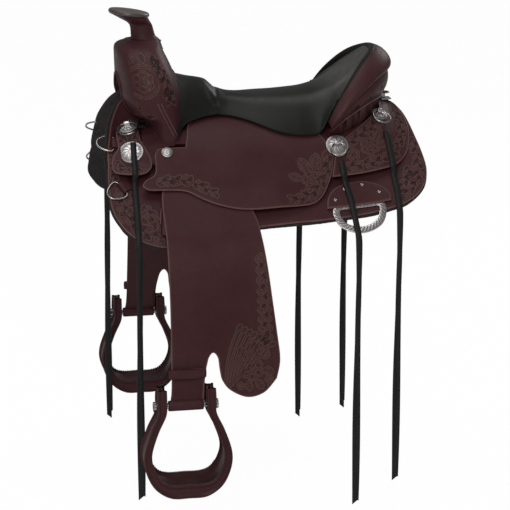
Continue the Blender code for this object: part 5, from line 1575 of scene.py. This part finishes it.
class SADDLE_OT_stirrups(SaddleOperator, bpy.types.Operator):
    """Make the leather-covered bell stirrups with their laced treads"""

    bl_idname = "saddle.stirrups"
    bl_label = "Stirrups"

    def execute(self, context):
        levels = np.array(STIRRUP_LEVELS, float)
        rows = columns_through(np.vstack((levels, levels[-2::-1] * (-1, 1, -1, 1, 1))), 9)
        body = self.body(rows)
        tread = rows[(np.abs(rows[:, 0]) < 84) & (rows[:, 1] < -120)]
        up = np.broadcast_to((0.0, 0.0, 1.0), (len(tread), 3))
        rows_of = [(tread[:, 2], near * (tread[:, 4] / 2 - 3.2), tread[:, 3] + 0.5) for near in (-1, 1)]
        lacing = joined([stitches(np.stack(row, axis=1), up, 5.2, 4.0, 0.9) for row in rows_of])
        t = math.pi * np.linspace(0, 1, 60)
        knot = (12 + 17 * np.sin(5 * t), -14 + 10 * np.cos(3 * t), -190.5 + 1.6 * np.sin(9 * t))
        lace = tube(np.stack(knot, axis=1), round_section(1.5, 8), (0.3, 0.2, 1.0))
        p, q, t = turned(((2, 0), (9.8, 0.0), (10.3, 0.8), (10.2, 3.6), (9.2, 4.8), (6, 5.2), (2, 5.3)), 32)
        heads = [(np.stack((way * (61.6 + p[:, 2]), p[:, 0], p[:, 1]), axis=1), q, t) for way in (-1, 1)]
        for side, word in SIDES:
            mirror, bolt, rides = (1, -side, 1), np.array(BOLT) * (1, side, 1), f"stirrup_{word}"
            make(f"stirrup_leather_cover_{word}", moved(body, mirror, bolt), "rolled leather", rides,
                 nodes=(rides,))
            make(f"tread_lacing_{word}", moved(lacing, mirror, bolt), "welt leather", rides)
            make(f"lace_knot_{word}", moved(lace, mirror, bolt), "lace leather", rides)
            make(f"bolt_heads_{word}", moved(joined(heads), 1, bolt), "bright wire", rides, "hardware_steel")
        return {"FINISHED"}

    def body(self, rows):
        """The stirrup's frame: a four-sided section between its outer and inner faces, its corners quarter
        circles, carried through the levels of one side and back up the other."""
        outer, inner, deep = rows[:, :2], rows[:, 2:4], rows[:, 4]
        wall = unit(outer - inner)
        arc = np.radians(np.array((90, 72, 54, 36, 18, 0)))
        corner = 4.0
        lines = []
        for face, sign in ((outer, 1), (inner, -1)):
            for end, angles in ((sign, arc), (-sign, arc[::-1])):
                for angle in angles:
                    depth = end * (deep / 2 - corner + corner * np.cos(angle))
                    edge = face - sign * corner * (1 - np.sin(angle)) * wall
                    lines.append(np.stack((edge[:, 0], depth, edge[:, 1]), axis=1))
        return loft(np.stack(lines, axis=1))


def concho_ripple(radius):
    """Engraving on a concho: a rope edge, a beaded ring and a ring of petals, as a height over angle and
    radius."""
    def height(a, r):
        share = r / radius
        rope = 0.30 * np.cos(36 * a + 3.0) * np.exp(-((share - 0.92) / 0.05) ** 2)
        beads = 0.16 * np.cos(28 * a) * np.exp(-((share - 0.78) / 0.04) ** 2)
        petals = 0.40 * np.abs(np.cos(5 * a + 4 * share)) * np.exp(-((share - 0.45) / 0.2) ** 2)
        return rope + beads + petals
    return height


def concho_disc(radius, finely=96):
    """A domed disc with its engraving, along, down and out of the leather, and how dark each place is."""
    dome = np.linspace(1.0, 0.06, 34)
    share = np.concatenate(((0.3, 0.98), dome))
    height = np.concatenate(((0.0, 0.0), 0.9 + 1.7 * (1 - dome**2)))
    ripple = concho_ripple(radius)
    parts = turned(np.stack((share * radius, height), axis=1), finely, ripple)
    x, y, _ = parts[0].T
    r = np.hypot(x, y)
    dark = np.clip(0.8 - 4.0 * ripple(np.arctan2(y, x), r), 0, 1) * np.exp(-((r / radius - 0.55) / 0.42) ** 4)
    return parts, dark


class SADDLE_OT_conchos(SaddleOperator, bpy.types.Operator):
    """Make the engraved conchos, the bails over their rings, and the rings"""

    bl_idname = "saddle.conchos"
    bl_label = "Conchos"

    def execute(self, context):
        a, b = np.linspace(0, math.pi, 22), round_turn(72)
        out = np.stack((0 * a, np.cos(a), np.sin(a)), axis=1)
        for side, word in SIDES:
            for name, (radius, ring, above) in CONCHO_SIZES.items():
                frame_of = CONCHO_FRAMES[name]
                disc, dark = concho_disc(radius)
                arch = np.stack((0 * a, -above + 4.6 * np.cos(a), 1.2 + 8.0 * np.sin(a) ** 0.6), axis=1)
                silver = joined((disc, tube(arch, strap_section(0.5 * radius, 1.5, 0.6), out)))
                make(f"concho_silver_{name}_{word}", carried(silver, frame_of, side), "engraved silver",
                     "saddle", "engraved_silver", (f"concho_{name}_{word}",), filled(dark, len(silver[0])))
                loop = (ring * np.sin(b), -above + ring * (1 - np.cos(b)), RING_HEIGHT + 0 * b)
                wire = tube(np.stack(loop, axis=1), round_section(1000 * sizes().wire - 0.1), closed=True)
                make(f"ring_{name}_{word}", carried(wire, frame_of, side), "bright wire",
                     f"concho_ring_{name}_{word}", "engraved_silver", (f"concho_ring_{name}_{word}",))
            for name, *place in LOBE_CONCHOS:
                parts, dark = self.on_lobe(side, *place)
                make(f"concho_{name}_{word}", parts, "engraved silver", "saddle", "engraved_silver",
                     carve=dark)
        return {"FINISHED"}

    def on_lobe(self, side, x, s, radius, above, sunk):
        """A concho that lies on the lobe or jockey at (x, s), turned to face as the leather does there."""
        step = np.array((-8.0, 8.0))
        ways = ((x + step, s), (x, s + step))
        along, down = (np.diff(wrap(SKIRT_SIDE, u, v, raised_floor(u, v), -1), axis=0)[0] for u, v in ways)
        along = unit(along)
        out = unit(np.cross(down, along))
        origin = wrap(SKIRT_SIDE, x, s, raised_floor(x, s) + JOCKEY + above, -1) - sunk * out
        disc, dark = concho_disc(radius, 80)
        return carried(disc, (origin, along, np.cross(along, out), out), side), dark


class SADDLE_OT_breast_dees(SaddleOperator, bpy.types.Operator):
    """Make the breast dees, the leather tabs that hold them, and the crupper ring"""

    bl_idname = "saddle.breast_dees"
    bl_label = "Breast dees and crupper ring"

    def execute(self, context):
        half, reach = 18.0, 35.0
        points = (
            (-half + 2, 0, 1), (half - 2, 0, 1), (half + 2.5, 5), (0.92 * half + 2, 0.5 * reach),
            (0.55 * half, 0.9 * reach), (0, reach), (-0.55 * half, 0.9 * reach),
            (-0.92 * half - 2, 0.5 * reach), (-half - 2.5, 5),
        )
        across, along = through(points, 8).T
        path = np.stack((-along, across, 0 * along), axis=1)
        wire = tube(path, round_section(1000 * sizes().wire), closed=True)
        a = np.linspace(-0.55 * math.pi, 0.55 * math.pi, 18)
        curl = np.stack((1.0 - 4.3 * np.cos(a), 0 * a, 4.3 * np.sin(a)), axis=1)
        tail, head = ((30, 0, -3.0), (16, 0, -3.0), (6, 0, -3.6)), ((6, 0, 3.4), (16, 0, 0.0), (30, 0, -1.2))
        fold = np.vstack((tail, curl, head))
        up = np.gradient(fold, axis=0)[:, ::-1] * (1, 0, -1)
        tab = tube(fold, strap_section(26.0, 2.2, 0.9), up)
        for side, word in SIDES:
            for name, frame_of in BREAST_FRAMES.items():
                make(f"breast_ring_{name}_{word}", carried(wire, frame_of, side), "bright wire",
                     f"breast_dee_{name}_{word}", "hardware_steel", (f"breast_dee_{name}_{word}",))
                make(f"breast_tab_{name}_{word}", carried(tab, frame_of, side), "saddle leather")
        points = ((-7, 0, 1), (7, 0, 1), (9.5, 3.5), (8, 9), (0, 12.5), (-8, 9), (-9.5, 3.5))
        across, along = through(points, 8).T
        path = np.stack((along, across, 0 * along), axis=1) + CRUPPER_HINGE
        ring = tube(path, round_section(1.7), closed=True)
        make("crupper_wire", ring, "bright wire", "crupper_ring", "hardware_steel", ("crupper_ring",))
        return {"FINISHED"}


class SADDLE_OT_strings(SaddleOperator, bpy.types.Operator):
    """Make the pairs of long tie strings"""

    bl_idname = "saddle.strings"
    bl_label = "Strings"

    def execute(self, context):
        for side, word in SIDES:
            for name, on_panel, on_skirt, low in STRING_RUNS:
                for layer, letter in enumerate("ab"):
                    path, parts = self.thong(side, name, on_panel, on_skirt, low, layer)
                    nodes = () if layer else (f"strings_{name}_{word}",)
                    piece = make(f"string_{name}_{letter}_{word}", parts, "thong leather", "saddle",
                                 "thong_leather", nodes)
        return {"FINISHED"}

    def thong(self, side, name, on_panel, on_skirt, low, layer):
        """One flat thong: down over the raised leather, along the skirt, over its edge and plumb down, with a
        slight sway and turn, and a slanted cut at its end. The second of a pair lies on the first."""
        lift = 1.55 + 3.1 * layer
        (x0, s0), (x1, s1) = on_panel
        t = np.linspace(0, 1, 12)
        x, s = x0 + (x1 - x0) * t, s0 + (s1 - s0) * t
        runs = [(SKIRT_SIDE, x, s, raised_floor(x, s) + JOCKEY + 1.2 + lift)]
        shape, base = (FLAT_SIDE, PLATE_TOP) if name == "seat" else (SKIRT_SIDE, SKIRT_TOP)
        knots = np.array(on_skirt, float)
        s = np.linspace(knots[0, 1], knots[-1, 1], 20)
        runs.append((shape, np.interp(s, knots[:, 1], knots[:, 0]), s, base + 0.8 + lift))
        points = [wrap(*run, side) for run in runs]
        normals = [wrap(*run, height + 1, side) - line for (*run, height), line in zip(runs, points)]
        end = points[-1][-1]
        drop = np.linspace(10, end[2] - low - 9.0 * layer, 34)
        sway = 1.6 * np.sin(drop / 95.0 + 2.1 * layer + 0.7) * np.clip(drop / 120, 0, 1)
        fall_x = end[0] - 3.0 * drop / drop[-1] + sway + 1.6 * layer
        fall_y = end[1] + side * (7.0 * (1 - np.exp(-drop / 26.0)) - 0.3 * layer)
        twist = 0.35 * np.sin(drop / 120.0 + 1.3 * layer) * np.clip(drop / 80, 0, 1)
        path = np.vstack((*points, np.stack((fall_x, fall_y, end[2] - drop), axis=1)))
        turn = np.stack((np.sin(twist), side * np.cos(twist), 0.25 * np.exp(-drop / 20)), axis=1)
        run = lengths_along(path)
        at = np.linspace(0, run[-1], 150)
        path, up = read_at(at, run, path), read_at(at, run, np.vstack((*normals, turn)))
        for _ in range(3):
            path[1:-1] = (path[:-2] + 2 * path[1:-1] + path[2:]) / 4
        half = np.array(((-6.0, -0.5), (-5.5, -1.4), (5.5, -1.4), (6.0, -0.5)))
        section = np.vstack((half, -half))
        parts = tube(path, section, up)
        parts[0][-10:-2, 2] += np.where(section[:, 0] > 0, 5.0, -5.0) * (1 if layer else -1)
        return path, parts


class SADDLE_OT_stage(SaddleOperator, bpy.types.Operator):
    """Set the floor, the lamps, the world and the camera"""

    bl_idname = "saddle.stage"
    bl_label = "Stage"

    def execute(self, context):
        scene = context.scene
        side, down = math.radians(VIEW_SIDE), math.radians(VIEW_DOWN)
        right = Vector((math.cos(side), -math.sin(side), 0))
        ahead = Vector((math.sin(side) * math.cos(down), math.cos(side) * math.cos(down), -math.sin(down)))
        up = right.cross(ahead)
        turn = Matrix((right, up, -ahead)).transposed().to_4x4()
        data = bpy.data.cameras.new("camera")
        data.lens, data.sensor_width, data.clip_end = LENS, 36.0, 100.0
        camera = bpy.data.objects.new("camera", data)
        scene.collection.objects.link(camera)
        camera.matrix_world = Matrix.Translation((Vector(LOOK_AT) - VIEW_DISTANCE * ahead) * MM) @ turn
        scene.camera = camera

        half, low = 9000.0, -792.0
        corners = np.array(((-half, -half, low), (half, -half, low), (half, half, low), (-half, half, low)))
        floor = put("floor", corners, ((0, 1, 2, 3),), (), self.white("floor white", 0.975))
        self.lamp("key", (-1.0, -3.2, 1.9), (-0.05, -0.1, -0.15), 1.7, 54.0)
        self.lamp("top", (-0.5, -0.1, 2.9), (0.0, 0.0, 0.0), 2.2, 30.0)
        self.lamp("rear", (2.3, 2.0, 1.6), (0.0, 0.0, -0.1), 1.8, 24.0)
        self.world(scene)
        scene.view_settings.view_transform = "Standard"
        return {"FINISHED"}

    def world(self, scene):
        """White where the camera sees it, and dimmer as a light: 0.45, and 0.2 in reflections."""
        world = scene.world or bpy.data.worlds.new("studio")
        scene.world = world
        world.use_nodes = True
        tree = world.node_tree
        tree.nodes.clear()
        path = tree.nodes.new("ShaderNodeLightPath").outputs
        seen = maths(tree, "MAXIMUM", path["Is Camera Ray"], path["Is Transmission Ray"])
        gloss = maths(tree, "MULTIPLY", path["Is Glossy Ray"], -0.25)
        strength = maths(tree, "ADD", maths(tree, "ADD", maths(tree, "MULTIPLY", seen, 0.55), gloss), 0.45)
        shade = node(tree, "ShaderNodeBackground", (("Color", (1, 1, 1, 1)), ("Strength", strength)))
        tree.links.new(shade.outputs[0], tree.nodes.new("ShaderNodeOutputWorld").inputs[0])

    def white(self, name, share):
        """White that the camera sees as white, with the share of it that keeps no shadow."""
        material = bpy.data.materials.new(name)
        material.use_nodes = True
        tree = material.node_tree
        shader = tree.nodes["Principled BSDF"]
        shader.inputs["Base Color"].default_value = (0.9, 0.9, 0.9, 1)
        shader.inputs["Roughness"].default_value = 0.9
        glow = node(tree, "ShaderNodeEmission", (("Color", (1, 1, 1, 1)), ("Strength", 1.0)))
        path = tree.nodes.new("ShaderNodeLightPath")
        seen = maths(tree, "MULTIPLY", path.outputs["Is Camera Ray"], share)
        mix = node(tree, "ShaderNodeMixShader", ((0, seen), (1, shader.outputs[0]), (2, glow.outputs[0])))
        tree.links.new(mix.outputs[0], tree.nodes["Material Output"].inputs["Surface"])
        return material

    def lamp(self, name, place, aim, size, power):
        """A round lamp at a place in metres, turned to its aim."""
        data = bpy.data.lights.new(name, "AREA")
        data.shape, data.size, data.energy = "DISK", size, power
        lamp = bpy.data.objects.new(name, data)
        lamp.location = place
        lamp.rotation_euler = (Vector(aim) - Vector(place)).to_track_quat("-Z", "Y").to_euler()
        bpy.context.scene.collection.objects.link(lamp)


OPERATORS = (
    SADDLE_OT_stage, SADDLE_OT_strings, SADDLE_OT_tree, SADDLE_OT_fleeces, SADDLE_OT_skirts, SADDLE_OT_rigging,
    SADDLE_OT_fenders, SADDLE_OT_jockeys, SADDLE_OT_fork, SADDLE_OT_horn, SADDLE_OT_seat, SADDLE_OT_cantle,
    SADDLE_OT_conchos, SADDLE_OT_breast_dees, SADDLE_OT_stirrups,
)


class SADDLE_PT_pieces(bpy.types.Panel):
    """Lists the saddle's pieces, sizes and colours."""

    bl_label = "Saddle"
    bl_idname = "SADDLE_PT_pieces"
    bl_space_type = "VIEW_3D"
    bl_region_type = "UI"
    bl_category = "Saddle"

    def draw(self, context):
        for settings in (context.scene.saddle_sizes, context.scene.saddle_colours):
            box = self.layout.box()
            for key in settings.__annotations__:
                box.prop(settings, key)
        for operator in OPERATORS:
            self.layout.operator(operator.bl_idname)


CLASSES = (SaddleColours, SaddleSizes, *OPERATORS, SADDLE_PT_pieces)


def register():
    for item in CLASSES:
        bpy.utils.register_class(item)
    bpy.types.Scene.saddle_colours = bpy.props.PointerProperty(type=SaddleColours)
    bpy.types.Scene.saddle_sizes = bpy.props.PointerProperty(type=SaddleSizes)


def unregister():
    del bpy.types.Scene.saddle_sizes
    del bpy.types.Scene.saddle_colours
    for item in reversed(CLASSES):
        bpy.utils.unregister_class(item)


def main():
    register()
    for operator in OPERATORS:
        group, name = operator.bl_idname.split(".")
        getattr(getattr(bpy.ops, group), name)()


if __name__ == "__main__":
    main()
